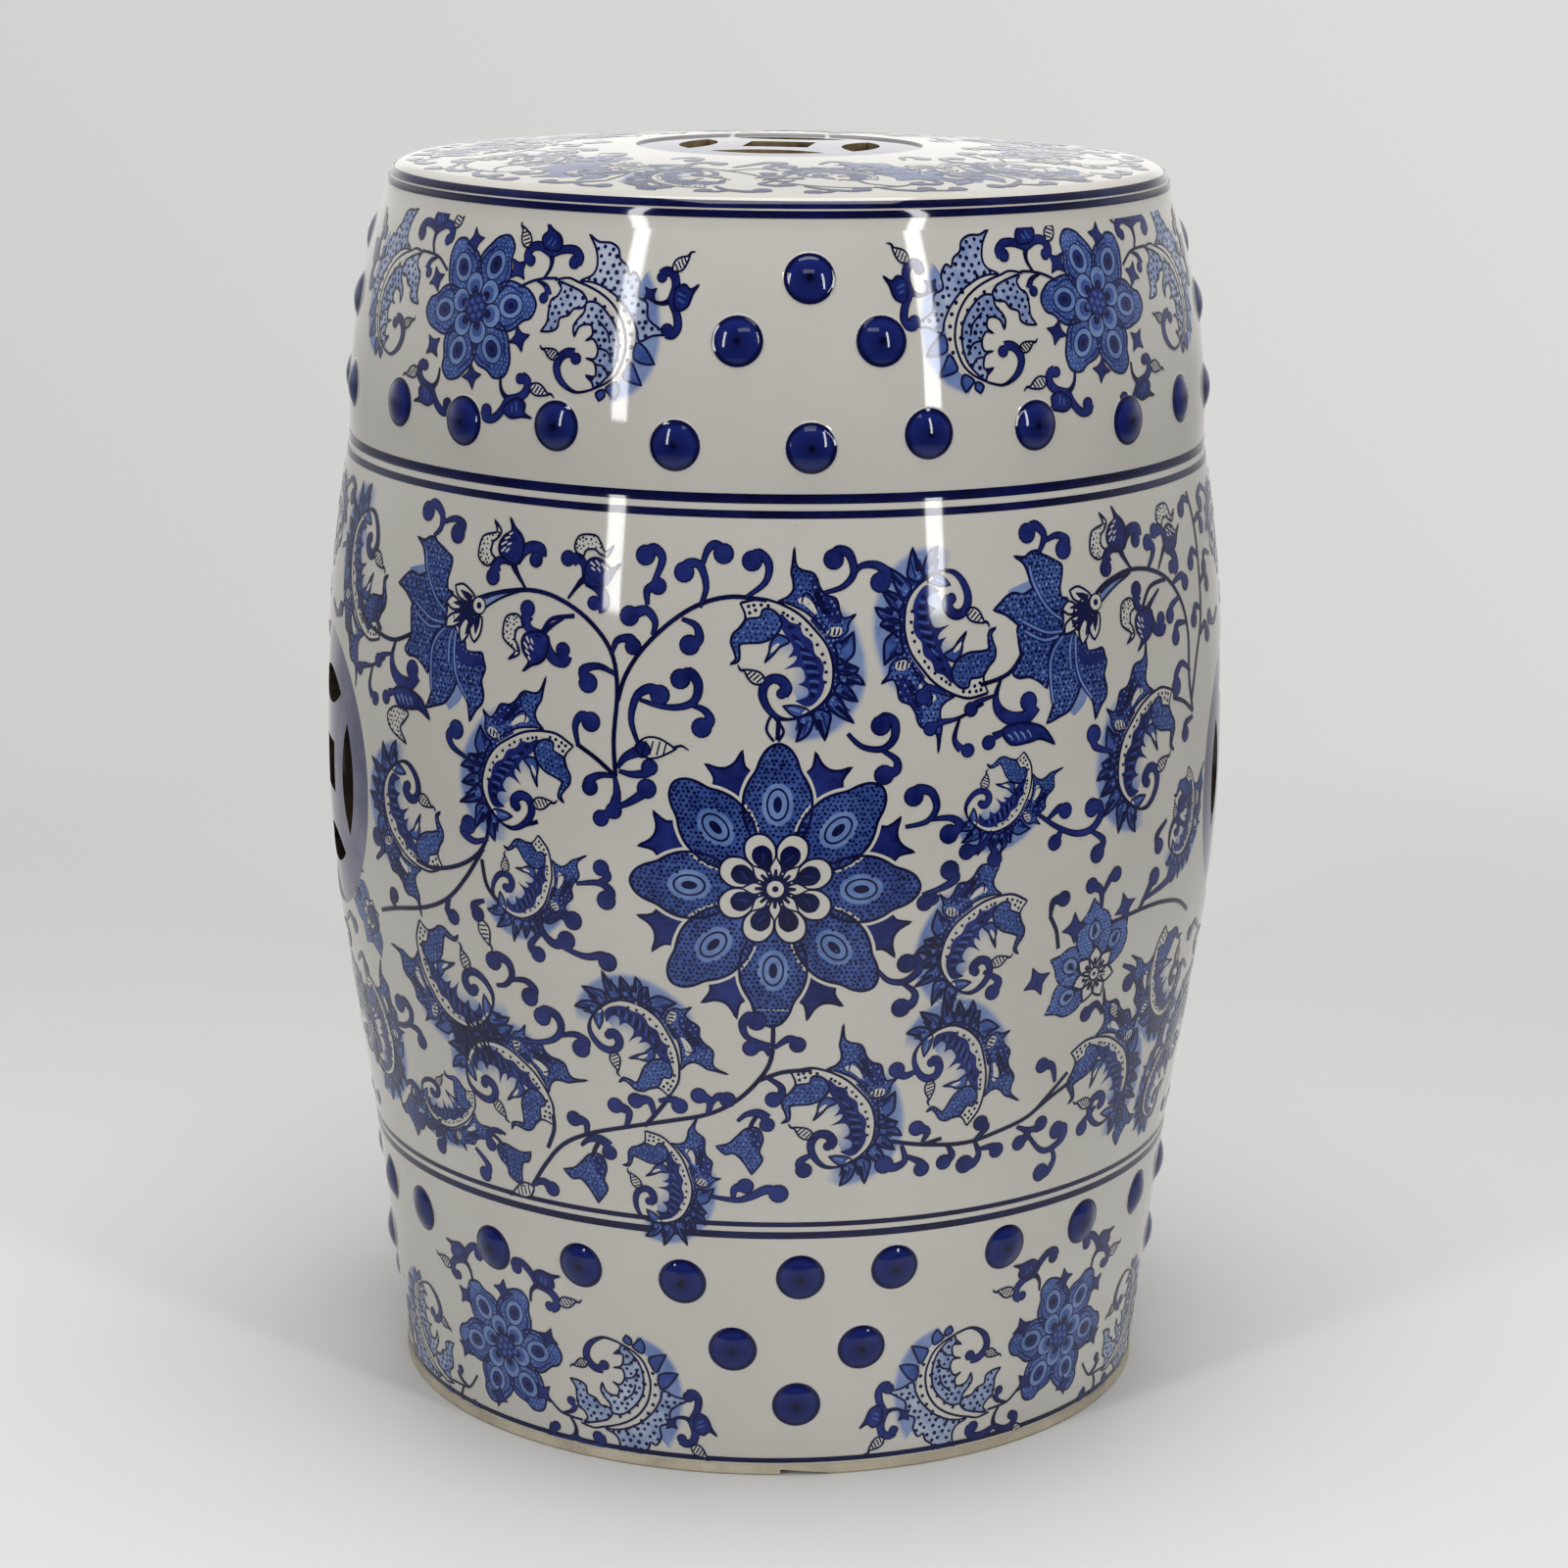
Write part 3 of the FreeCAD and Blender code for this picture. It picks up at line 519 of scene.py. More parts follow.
            brush.stroke("ink" if side == 0 else "deep", 4, [
                (foot[0] + along[0] * t + aside[0], foot[1] + along[1] * t + aside[1],
                 half * (1.1 - 0.8 * t)) for t in (start, (start + end) / 2, end)], 2)
        brush.disc("sky", 3.9, (foot[0] + along[0] * 0.3 + 0.5, foot[1] + along[1] * 0.3 + 0.6),
                   0.55, 6)

    # dark flames inside
    outer = smooth([(-3.0, 9.0), (4.0, 9.6), (9.0, 6.6), (12.4, 1.6), (13.2, -4.0), (12.2, -10.0),
                    (8.4, -13.6)], 4)
    brush.band("sky", 0.2, outer, [(x * 0.36 + 1.0, y * 0.36 - 1.0, 0.0) for x, y in outer])
    brush.inked(4, 0.4, "blue", 1.6, [(5.0, 7.4), (1.6, 5.4), (-0.4, 3.0), (-3.4, 0.2, 1),
                                      (-1.9, 3.8), (-1.5, 6.6), (1.2, 9.6)])
    brush.stroke("white", 3.8, [(-1.4, 3.6, 0.2), (-0.2, 5.2, 0.7), (1.4, 6.6, 0.3)])
    brush.patch("deep", 2.4, [
        (2.0, 16.6), (5.0, 13.9), (8.3, 12.8), (9.5, 9.8), (12.6, 7.3), (13.4, 3.5), (15.4, 1.4),
        (16.6, -1.5), (16.2, -4.6), (16.8, -7.2), (15.8, -10.5), (13.3, -13.7), (10.6, -14.6),
        (6.8, -12.6, 1), (10.9, -11.2), (11.1, -8.6), (7.9, -7.2, 1), (10.3, -5.3), (8.6, -1.3),
        (3.0, -2.1, 1), (6.6, 0.4), (7.2, 2.5), (4.2, 1.7, 1), (6.2, 5.0), (3.4, 9.6), (1.2, 13.4)],
                3)
    hatch(brush, "ink", 2.7, (
        (5.6, 9.4, 8.6, 6.6), (8.4, 5.2, 11.6, 3.8), (9.2, 2.0, 13.4, 1.0),
        (10.2, -1.2, 14.6, -1.6), (11.2, -4.4, 15.2, -4.6), (12.0, -7.6, 15.0, -8.0),
        (11.8, -10.6, 13.6, -11.4), (4.4, 12.2, 6.4, 11.6)), 0.75)
    hatch(brush, "blue", 2.9, (
        (7.0, 7.6, 9.8, 5.2), (8.6, 3.6, 12.6, 2.4), (9.6, 0.4, 13.8, -0.4),
        (10.6, -2.8, 14.8, -3.2), (11.6, -6.0, 15.0, -6.4), (12.2, -9.2, 14.4, -9.8)), 0.42)
    brush.inked(4, 0.36, "blue", 2.2,
                [(2.8, -14.4, 1), (7.0, -14.2), (11.2, -15.6), (10.4, -17.6), (6.4, -17.8)])
    brush.stroke("sky", 3.8, [(5.0, -15.2, 0.35), (8.4, -16.2, 0.4)])

    # midrib: white on both sides of its line, dotted along the inside
    line = [(-11.8, 20.0), (-5.0, 21.4), (0.2, 20.4), (4.9, 18.4), (9.1, 15.7), (13.1, 11.7),
            (17.2, 6.7), (19.2, 1.7), (19.8, -3.0), (19.2, -8.4), (17.2, -12.2), (13.9, -15.3),
            (9.8, -17.6)]
    brush.stroke("white", 3.4, [(x * 0.965, y * 0.965, w) for (x, y), w in zip(line, (
        0.5, 1.1, 1.5, 1.5, 1.4, 1.3, 1.2, 1.1, 1.05, 1.0, 0.95, 0.8, 0.4))], 4)
    brush.stroke("ink", 4.3, even(line, 0.5), 4)
    brush.specks(3.6, 0.62, (2.8, 16.9), (4.2, 16.0), (5.9, 14.9), (8.4, 13.2), (10.7, 11.3),
                 (12.2, 9.4), (14.3, 6.2), (16.0, 3.0), (16.8, 0.2), (17.3, -3.0), (17.0, -6.4))
    hatch(brush, "ink", 3.6, (
        (19.4, 5.6, 20.6, 6.6), (20.2, 2.6, 21.4, 3.0), (20.6, -1.0, 21.8, -0.8),
        (20.6, -4.6, 21.7, -4.8), (20.0, -8.0, 21.0, -8.6)), 0.3)

    # tendril and its bud
    brush_hook(brush, [
        (9.8, -17.8, 0.45), (5.4, -18.9, 0.55), (1.4, -18.4, 0.9), (-1.9, -15.6, 1.25),
        (-3.9, -11.4, 1.5), (-3.5, -7.6, 1.65), (-1.0, -5.3, 1.7), (2.2, -5.7, 1.9),
        (4.0, -8.4, 2.0), (2.8, -10.6, 1.9)], (2.4, -10.2), 1.9)
    seed_bud(brush, -3.4, -6.6, 147, 0.78)


def band_leaf(brush):
    """The bands' leaf: pale wash with large dots, the same curl."""
    brush.piece = "band_leaves"
    near = smooth([(17.6, 14.0), (19.4, 8.0), (19.8, 0.0), (18.6, -8.0), (15.4, -13.6),
                   (10.0, -17.4)], 4)
    far = smooth([(22.6, 21.0), (26.4, 12.0), (27.4, 0.0), (25.0, -10.0), (19.4, -17.0),
                  (11.4, -20.6)], 4)
    brush.band("wash", 0, near, far)
    brush.band("wash", 0, far, [(x * 1.07, y * 1.07, 0.0) for x, y in far])
    netted(brush, "mist", 1, [
        (-1.6, 18.4), (2.6, 20.2), (4.3, 23.5), (3.3, 28.7), (0.0, 33.6, 1), (3.9, 31.2),
        (8.6, 30.9), (11.8, 29.0), (12.8, 25.7), (15.5, 23.5), (16.6, 20.6), (18.6, 21.4),
        (20.6, 18.0), (20.2, 13.6), (23.6, 11.4), (24.4, 6.0), (31.8, 1.0, 1), (26.0, 0.8),
        (21.4, -1.0), (20.2, 3.0), (17.6, 8.0), (13.0, 13.0), (7.6, 16.4), (2.8, 18.0)], 3.0, 2,
           dot=0.78)
    netted(brush, "mist", 1, [
        (-10.2, 18.0), (-8.9, 15.8), (-10.2, 13.2), (-12.5, 11.8), (-13.2, 8.1), (-13.5, 4.4),
        (-15.8, 1.3, 1), (-11.8, 1.5), (-9.2, 2.9), (-8.6, 5.9), (-5.3, 7.0), (-3.3, 9.2),
        (0.0, 9.6), (1.4, 11.8), (0.0, 14.0), (-2.6, 15.6)], 2.9, 3, dot=0.72)
    netted(brush, "mist", 1, [
        (1.6, 11.4), (0.7, 8.1), (-2.0, 5.1), (-3.0, 2.9), (-2.4, 0.0, 1), (-1.0, 3.1), (1.5, 4.2),
        (3.9, 3.7), (4.3, 0.7), (2.0, -1.2, 1), (4.8, -0.6), (6.6, -3.7), (5.7, -7.0),
        (2.3, -7.0, 1), (5.5, -8.4), (6.0, -12.8), (2.4, -12.6, 1), (4.8, -14.9), (5.9, -16.6),
        (11.2, -12.0), (13.4, -7.4), (14.0, -2.2), (13.2, 2.4), (10.5, 6.8), (5.9, 11.0)], 2.8, 5,
           dot=0.74)
    for knots in (((6.0, 5.6), (9.6, 2.2), (10.8, -1.8)), ((6.6, -3.6), (10.0, -4.6), (12.0, -8.4)),
                  ((5.8, -9.0), (8.8, -9.6), (10.4, -12.4))):
        brush.stroke("ink", 4, even(knots, 0.4))
    for knots in ([(20.4, -1.6), (23.6, -3.4), (26.8, -8.6, 1), (22.6, -8.4), (19.4, -6.4)],
                  [(18.6, -8.0), (20.6, -11.6), (22.4, -15.6, 1), (18.0, -14.4), (15.8, -12.6)],
                  [(13.4, -14.6), (14.4, -17.6), (12.8, -20.6, 1), (10.6, -18.2), (9.8, -16.6)],
                  [(8.8, -17.2), (9.4, -19.4), (7.4, -21.0, 1), (6.2, -18.6)]):
        brush.inked(4, 0.4, "blue", 1.6, knots, 3)
    line = [(-11.8, 18.4), (-6.4, 19.2), (-2.6, 18.0), (2.0, 16.5), (7.2, 14.0), (11.8, 10.3),
            (15.1, 5.1), (16.4, 0.0), (16.4, -4.4), (15.1, -8.8), (13.0, -12.5), (9.2, -15.4),
            (3.9, -17.6)]
    brush.stroke("white", 3, [(x, y, w) for (x, y), w in zip(line, (
        0.3, 1.0, 1.8, 2.2, 2.3, 2.3, 2.2, 2.1, 2.0, 1.8, 1.5, 1.0, 0.4))], 4)
    brush.stroke("ink", 4.3, even(line, 0.45), 4)
    brush.specks(3.8, 0.78, (3.9, 18.8), (6.9, 17.6), (10.2, 15.2), (13.0, 12.4), (15.6, 9.0),
                 (17.4, 5.2), (18.2, 1.2), (18.4, -3.0), (17.4, -7.4), (4.6, 12.4), (8.2, 10.0),
                 (11.4, 6.4), (13.8, 2.2), (14.4, -2.6), (13.6, -7.4), (10.8, -11.6))
    brush_hook(brush, [
        (3.9, -17.6, 0.45), (-0.7, -18.4, 0.55), (-4.4, -16.9, 0.9), (-7.4, -14.0, 1.3),
        (-8.6, -10.3, 1.5), (-7.4, -7.2, 1.6), (-4.8, -5.4, 1.7), (-2.0, -5.6, 1.9)], (-1.4, -7.2),
               2.1)
    seed_bud(brush, -8.0, -7.2, 152, 0.62)


def both_sides(knots):
    return list(knots) + [(-k[0],) + tuple(k[1:]) for k in reversed(knots) if k[0]]


def big_flower(brush):
    """The eight-petalled flower in the middle of the body."""
    brush.piece = "great_flower"
    petal = both_sides([(0, 50.4), (3.6, 48.8), (6.0, 45.4), (7.6, 41.0), (10.0, 37.0),
                        (11.6, 32.0), (11.4, 25.0), (9.4, 19.6), (5.5, 14.0)])
    gap = both_sides([(0, 52.2), (4.8, 50.2), (7.4, 46.4), (9.0, 41.8), (11.4, 37.8), (13.1, 32.2),
                      (12.8, 25.0), (10.4, 19.0), (6.0, 14.0)])
    cup = both_sides([(0, 31.0, 1), (4.2, 35.6), (8.2, 39.4, 1), (5.6, 43.4), (6.8, 49.0, 1),
                      (3.4, 46.2), (0, 45.2)])
    white = both_sides([(0, 5.0, 1), (3.2, 8.6), (5.4, 14.0), (3.8, 18.8), (0, 20.4)])
    core = both_sides([(0, 6.0, 1), (2.6, 9.6), (3.5, 13.0), (2.1, 15.6), (0, 16.2)])
    needle = both_sides([(0, 3.0), (1.4, 5.0), (2.0, 7.6), (0, 11.4, 1)])
    for i in range(8):
        brush.inked(0.3, 0.5, "deep", 0, turned_points(cup, turn=45 * i + 22.5), 3)
    for i in range(8):
        turn = 45 * i
        level = 1 + 0.5 * (i % 2)
        brush.patch("white", level, turned_points(gap, turn=turn))
        loop = brush.inked(3.2, 0.5, "blue", level + 0.2, turned_points(petal, turn=turn))
        eye = polar(turn + 90, 29.5)
        for paint, rise, radius, sides, stretch in (
                ("blue", 2.9, 8.6, 22, 1.25), ("sky", 3.0, 5.4, 22, 1.4),
                ("ink", 3.4, 3.9, 24, 1.5), ("sky", 3.6, 3.2, 24, 1.56),
                ("ink", 3.8, 1.5, 16, 1.9)):
            brush.disc(paint, rise, eye, radius, sides, stretch, turn + 90)
        out = polar(turn + 90, 1.0)

        def clear(x, y, out=out):
            along, aside = x * out[0] + y * out[1], x * out[1] - y * out[0]
            return ((along - 29.5) / 7.6) ** 2 + (aside / 5.2) ** 2 > 1 and along > 18

        brush.dots("ink", 3.2, loop, 1.75, 0.58, clear, seed=10 + i)
    brush.disc("ink", 4, (0, 0), 14.0, 32)
    for i in range(8):
        turn = 45 * i + 22.5
        brush.inked(4.8, 0.45, "white", 4.4 + 0.2 * (i % 2), turned_points(white, turn=turn))
        brush.patch("ink", 5, turned_points(core, turn=turn))
        hatch(brush, "deep", 5.1, [sum(turned_points([(-0.8, 10.0), (0.8, 13.6)], turn=turn), ())],
              0.4)
    for i in range(8):
        brush.inked(5.8, 0.35, "white", 5.4, turned_points(needle, turn=45 * i))
        brush.stroke("ink", 5.9, [polar(45 * i, 3.5) + (0.9,), polar(45 * i, 7.0) + (0.5,)])
    brush.rings(20, (0, 0), ("ink", 6, 4.2), ("white", 6.2, 2.9), ("ink", 6.4, 1.1))


def small_flower(brush):
    """A six-petalled flower with an eye in each petal."""
    brush.piece = "small_flowers"
    petal = [(0, 27.0), (4.2, 25.0), (5.4, 21.2), (8.2, 16.6), (7.6, 11.0), (4.2, 6.5), (-4.2, 6.5),
             (-7.6, 11.0), (-8.2, 16.0), (-6.6, 20.4), (-4.4, 24.4)]
    for i in range(6):
        turn = 60 * i - 23
        level = 1 + 0.4 * (i % 2)
        loop = brush.inked(3.2, 0.42, "blue", level, turned_points(petal, turn=turn))
        eye = polar(turn + 90, 16.2)
        brush.rings(20, eye, ("ink", 3.3, 4.4), ("sky", 3.4, 4.0), ("ink", 3.5, 2.6),
                    ("deep", 3.6, 2.2), ("ink", 3.8, 1.1), stretch=1.25, turn=turn + 90)
        brush.dots("sky", 3.1, loop, 1.7, 0.42, seed=30 + i,
                   keep=lambda x, y: math.dist((x, y), eye) > 5.2 and math.hypot(x, y) > 9)
        for bow in (-1, 1):
            bend_in = turned_points([(bow * 6.2, 10.0), (bow * 6.6, 15.6), (bow * 3.6, 21.4)],
                                    turn=turn)
            brush.stroke("deep", 3.15, even(bend_in, 0.42))
    brush.disc("ink", 3.7, (0, 0), 8.4, 26)
    for i in range(6):
        turn = 60 * i + 46
        centre = polar(turn, 8.2)
        brush.disc("ink", 3.8, centre, 4.3, 18)
        brush.disc("sky", 4, centre, 3.8, 18)
        brush.disc("blue", 4.1, polar(turn, 7.2), 2.7, 14)
        brush.disc("ink", 4.2, polar(turn, 5.6), 1.7, 12, 1.3, turn)
    brush.disc("deep", 4.6, (0, 0), 4.4, 20)
    for i in range(6):
        brush.disc("blue", 4.8, polar(60 * i + 76, 2.9), 0.95, 8)
    brush.disc("blue", 4.8, (0, 0), 1.1, 10)


def half_flower(brush):
    """A half-opened flower: netted petals on one side of a small daisy."""
    brush.piece = "small_flowers"
    petal = both_sides([(0, 27.0, 1), (3.0, 22.8), (6.8, 19.4), (8.2, 13.4), (5.6, 6.8), (0, 2.0)])
    for number, (turn, size) in enumerate(((114, 0.98), (64, 0.95), (-42, 1.0), (4, 1.15))):
        loop = brush.inked(1.1 + 0.3 * number, 0.45, "blue", 1 + 0.3 * number,
                           turned_points(petal, size=size, turn=turn))
        brush.dots("sky", 1.15 + 0.3 * number, loop, 1.7, 0.45, seed=90 + number)
        rib = turned_points([(0.6, 6), (-0.8, 13), (0.4, 20)], size=size, turn=turn)
        brush.stroke("ink", 3.2, even(rib, 0.7))
        eye = turned_points([(0, 15.5)], size=size, turn=turn)[0]
        brush.rings(16, eye, ("ink", 3.3, 3.6), ("sky", 3.4, 3.0), ("ink", 3.5, 1.4), stretch=1.2,
                    turn=turn + 90)
    for i in range(7):
        brush.inked(4.4, 0.55, "white", 4, turned_points(
            both_sides([(0, 11.4, 1), (3.0, 7.6), (2.4, 3.0), (0, 1.4)]), turn=360 / 7 * i))
        brush.stroke("ink", 4.6,
                     [polar(360 / 7 * i + 90, 3.6) + (0.9,), polar(360 / 7 * i + 90, 6.6) + (0.9,)])
    brush.rings(16, (0, 0), ("ink", 5, 3.0), ("white", 5.2, 2.1), ("ink", 5.4, 0.9))


def side_lotus(brush):
    """A lotus seen from the side: a daisy at its heart and five netted petals."""
    brush.piece = "side_lotuses"
    petals = ([(-13.0, 2.4), (-15.7, 3.5), (-16.3, 6.9), (-15.2, 10.9), (-14.9, 14.3),
               (-17.4, 16.0), (-20.7, 17.7), (-23.4, 18.9), (-25.3, 20.3), (-28.3, 20.0),
               (-31.0, 18.6), (-35.2, 19.2, 1), (-31.6, 16.6), (-29.9, 13.2), (-28.9, 9.8),
               (-27.2, 6.9), (-25.0, 3.5), (-20.7, -1.0), (-16.3, -2.7)],
              [(-27.8, 7.5), (-32.1, 6.1), (-36.0, 6.9), (-39.2, 5.8), (-44.4, 1.6, 1),
               (-40.3, 0.1), (-37.0, -2.2), (-34.3, -4.4), (-29.4, -6.7), (-22.8, -8.4),
               (-16.8, -7.8), (-15.7, -2.4), (-20.7, 0.0), (-25.0, 4.5)],
              [(-34.3, -4.4), (-34.9, -9.0), (-34.3, -14.7), (-36.0, -18.1), (-37.4, -20.6),
               (-34.9, -22.3), (-31.0, -22.3), (-27.2, -24.0), (-23.6, -27.0, 1), (-22.6, -21.5),
               (-21.6, -15.8), (-19.6, -11.3), (-15.6, -8.0), (-24.0, -7.6)],
              [(-18.5, -10.1), (-21.7, -14.1), (-22.8, -19.2), (-21.7, -27.2), (-21.2, -32.8),
               (-24.0, -39.2, 1), (-18.5, -37.4), (-14.1, -35.7), (-10.8, -31.7), (-8.9, -27.7),
               (-9.6, -23.8), (-9.8, -15.8), (-9.7, -11.3), (-13.0, -7.0)],
              [(-5.9, -12.6), (-4.8, -16.1), (-1.0, -16.4), (2.3, -16.1), (3.4, -18.6),
               (4.2, -21.5), (2.8, -25.5), (3.9, -30.0), (3.4, -33.4), (0.7, -36.3),
               (-1.9, -40.6, 1), (-3.2, -34.0), (-6.4, -30.0), (-9.2, -26.6), (-10.6, -21.5),
               (-10.6, -15.8), (-8.6, -11.0)])
    veins = (
        ((-16.3, -3.9), (-20.7, -1.0), (-24.5, 3.5), (-27.8, 9.8), (-29.2, 15.6)),
        ((-16.3, -8.0), (-22.8, -7.8), (-29.0, -5.2), (-33.0, -3.0)),
        ((-18.0, -9.6), (-24.6, -10.2), (-32.4, -6.4)),
        ((-16.3, -10.1), (-20.1, -14.1), (-22.0, -19.2), (-21.8, -27.2), (-21.0, -32.4)),
        ((-11.9, -10.1), (-13.2, -14.7), (-13.0, -21.5)),
        ((-10.3, -10.1), (-10.6, -15.8), (-10.0, -22.0), (-7.9, -27.2), (-3.4, -32.8)),
    )
    brush.stroke("wash", 0, [(-13.0, -37.0, 1.6), (-8.6, -32.0, 2.6), (-6.6, -27.0, 1.4)])
    brush.stroke("wash", 0, [(-38.0, 6.6, 1.4), (-32.0, 8.0, 1.8), (-27.0, 10.0, 1.0)])
    for number, knots in enumerate(petals):
        level = 1 + 0.25 * number
        loop = brush.inked(level + 0.1, 0.5, "blue", level, knots)
        brush.dots("ink", level + 0.06, loop, 1.75, 0.6, seed=50 + number)
        brush.dots("sky", level + 0.08, loop, 2.9, 0.5, seed=70 + number)
    for knots in veins:
        brush.stroke("deep", 3.3, even(knots, 0.95))
        brush.stroke("sky", 3.5, even(knots, 0.42))
    brush.patch("deep", 3.2, [(-8.6, -13.6), (-5.4, -17.0), (2.0, -17.4), (2.6, -20.0),
                              (-3.0, -21.6), (-8.6, -20.0)])
    daisy = ([(-2.3, 2.7), (-5.4, 5.2), (-8.6, 6.4), (-12.0, 5.4, 1), (-10.8, 2.7), (-8.1, 1.0),
              (-4.3, 0.7)],
             [(-9.4, 0.1), (-13.0, 1.8), (-15.9, -0.7, 1), (-13.0, -2.7), (-9.0, -2.2)],
             [(-8.6, -3.6), (-12.5, -4.4), (-14.9, -6.4), (-15.2, -9.4, 1), (-10.8, -8.4),
              (-7.6, -5.6)],
             [(-5.9, -5.2), (-8.4, -8.4), (-8.4, -11.3), (-7.3, -13.9, 1), (-4.8, -11.3),
              (-3.7, -7.4)],
             [(-2.8, -4.0), (-3.7, -8.4), (-2.6, -11.5), (-1.3, -12.8, 1), (1.2, -9.5),
              (1.5, -4.0)])
    brush.patch("ink", 3.9, [(-1.0, 2.6), (-6.0, 2.4), (-10.0, 0.0), (-12.0, -5.0), (-9.0, -9.0),
                             (-3.0, -8.0), (1.0, -3.0)])
    for knots in daisy:
        brush.inked(4.4, 0.45, "white", 4, knots)
        tip = next(k for k in knots if len(k) > 2)
        brush.stroke("ink", 4.5, [
            (tip[0] * 0.3, tip[1] * 0.3, 1.3), (tip[0] * 0.52, tip[1] * 0.52, 1.25),
            (tip[0] * 0.78, tip[1] * 0.78, 0.2)])
    brush.rings(20, (0, 0), ("ink", 5.4, 3.2), ("white", 5.6, 2.6), ("ink", 5.8, 1.15))
    brush.band("wash", 3, smooth([(2.6, 2.7), (6.7, 4.9), (11.6, 6.4), (18.6, 7.4)]),
               smooth([(2.0, -1.0), (6.1, 1.8), (11.6, 4.7), (18.4, 6.8)]))
    for knots in (((2.6, 2.7), (6.7, 4.9), (11.6, 6.4), (19.8, 7.7)),
                  ((2.0, -1.0), (6.1, 1.8), (11.6, 4.7), (18.4, 7.2))):
        brush.stroke("ink", 4, even(knots, 0.45))


# Where the motifs stand: on the body, by degrees from its middle and height

BODY_LEAVES = (
    # angle, height, radius, where its stem joins (degrees), curls clockwise, height stretch
    (0.0, 303.0, 20.0, 120, True, 1.0),
    (22.0, 312.0, 19.5, -62, True, 1.1),
    (-29.8, 256.0, 19.5, 42, False, 1.0),
    (-48.5, 236.5, 19.5, -50, True, 1.0),
    (-31.5, 223.0, 15.0, 60, True, 1.0),
    (-43.0, 181.0, 20.0, 138, False, 1.0),
    (-36.5, 139.0, 19.0, -23, False, 1.0),
    (-17.5, 163.0, 18.0, -50, False, 1.0),
    (-48.5, 130.0, 15.5, 20, True, 0.85),
    (-15.5, 114.0, 15.5, 95, True, 1.05),
    (6.5, 139.0, 19.0, 120, True, 1.0),
    (22.5, 152.0, 17.0, -60, False, 1.12),
    (26.6, 200.0, 17.6, 45, False, 1.06),
    (27.0, 256.0, 14.5, 50, True, 0.95),
    (52.6, 259.0, 20.5, 55, False, 1.03),
    (47.6, 137.0, 19.6, 135, True, 1.0),
    (-61.5, 317.0, 20.0, -60, True, 1.12),
    (60.4, 232.0, 13.4, 70, True, 1.1),
    (62.8, 172.0, 18.0, 120, False, 1.0),
    (-67.0, 143.0, 18.0, 100, True, 1.0),
    (67.0, 124.0, 14.0, 60, False, 1.0),
)
BODY_VINES = (
    ((-18.6, 262), (-18.9, 275), (-18.6, 292), (-19.6, 305), (-22.8, 315), (-27, 321), (-31, 322.4),
     (-35.5, 320), (-38.6, 317)),
    ((-18.5, 288), (-17.6, 297), (-15.4, 307), (-12, 316.5), (-8.6, 322.5), (-5, 325), (-1, 324)),
    ((-18.6, 262), (-21, 267.5), (-23.6, 272)),
    ((-38.6, 317), (-34.5, 320.8), (-31, 322.4)),
    ((-24.4, 315.4), (-27.4, 313.6), (-28.6, 309)),
    ((-28.6, 243), (-30.6, 241)),
    ((-35.5, 243), (-36.2, 233), (-38.2, 226), (-41.5, 221), (-45.5, 218.4), (-48.5, 219.5)),
    ((-36.6, 230), (-39.6, 218), (-43, 208.5), (-47.5, 202.5), (-54, 198), (-58, 194.6)),
    ((-36.9, 226), (-36.3, 217), (-34.6, 211.5)),
    ((0.4, 277), (0.5, 284)),
    ((0.2, 176), (0, 163), (-1.6, 154.5), (-4.4, 146.5), (-8, 141), (-13, 137.5), (-18.6, 133.6),
     (-24, 129), (-28, 123), (-31, 114), (-33.6, 104)),
    ((-16.2, 134.6), (-14, 142), (-12.6, 147.6)),
    ((-1.6, 154.5), (1.4, 157.8), (5, 158.6)),
    ((15.3, 130), (20, 127.4), (26, 126), (31, 128.4), (35.6, 132), (38.4, 138), (41.5, 145.5)),
    ((22.5, 129), (20.2, 127.6)),
    ((35.6, 132), (39, 137.4), (42.5, 141.6)),
    ((-30.4, 120.6), (-29.2, 128), (-29.1, 134)),
    ((35.2, 208), (36.4, 202), (37.0, 195)),
    ((46, 200), (52, 201.5), (57, 201), (62, 198), (66, 192)),
    ((63.4, 268), (62.4, 281), (62.6, 296), (61.2, 308), (57.8, 318), (53.2, 323.6), (48.6, 325),
     (44.5, 322.4), (42.4, 319)),
    ((57, 318.6), (53.2, 317.6), (51.2, 311)),
    ((63.4, 268), (60.6, 273), (57.6, 276)),
    ((30.8, 303), (28.6, 296), (24.8, 293)),
    ((-50, 300), (-54, 296), (-59, 297.5), (-63, 301)),
    ((66, 346), (67.6, 334), (68, 318), (67.4, 300), (65, 286), (63, 272)),
)
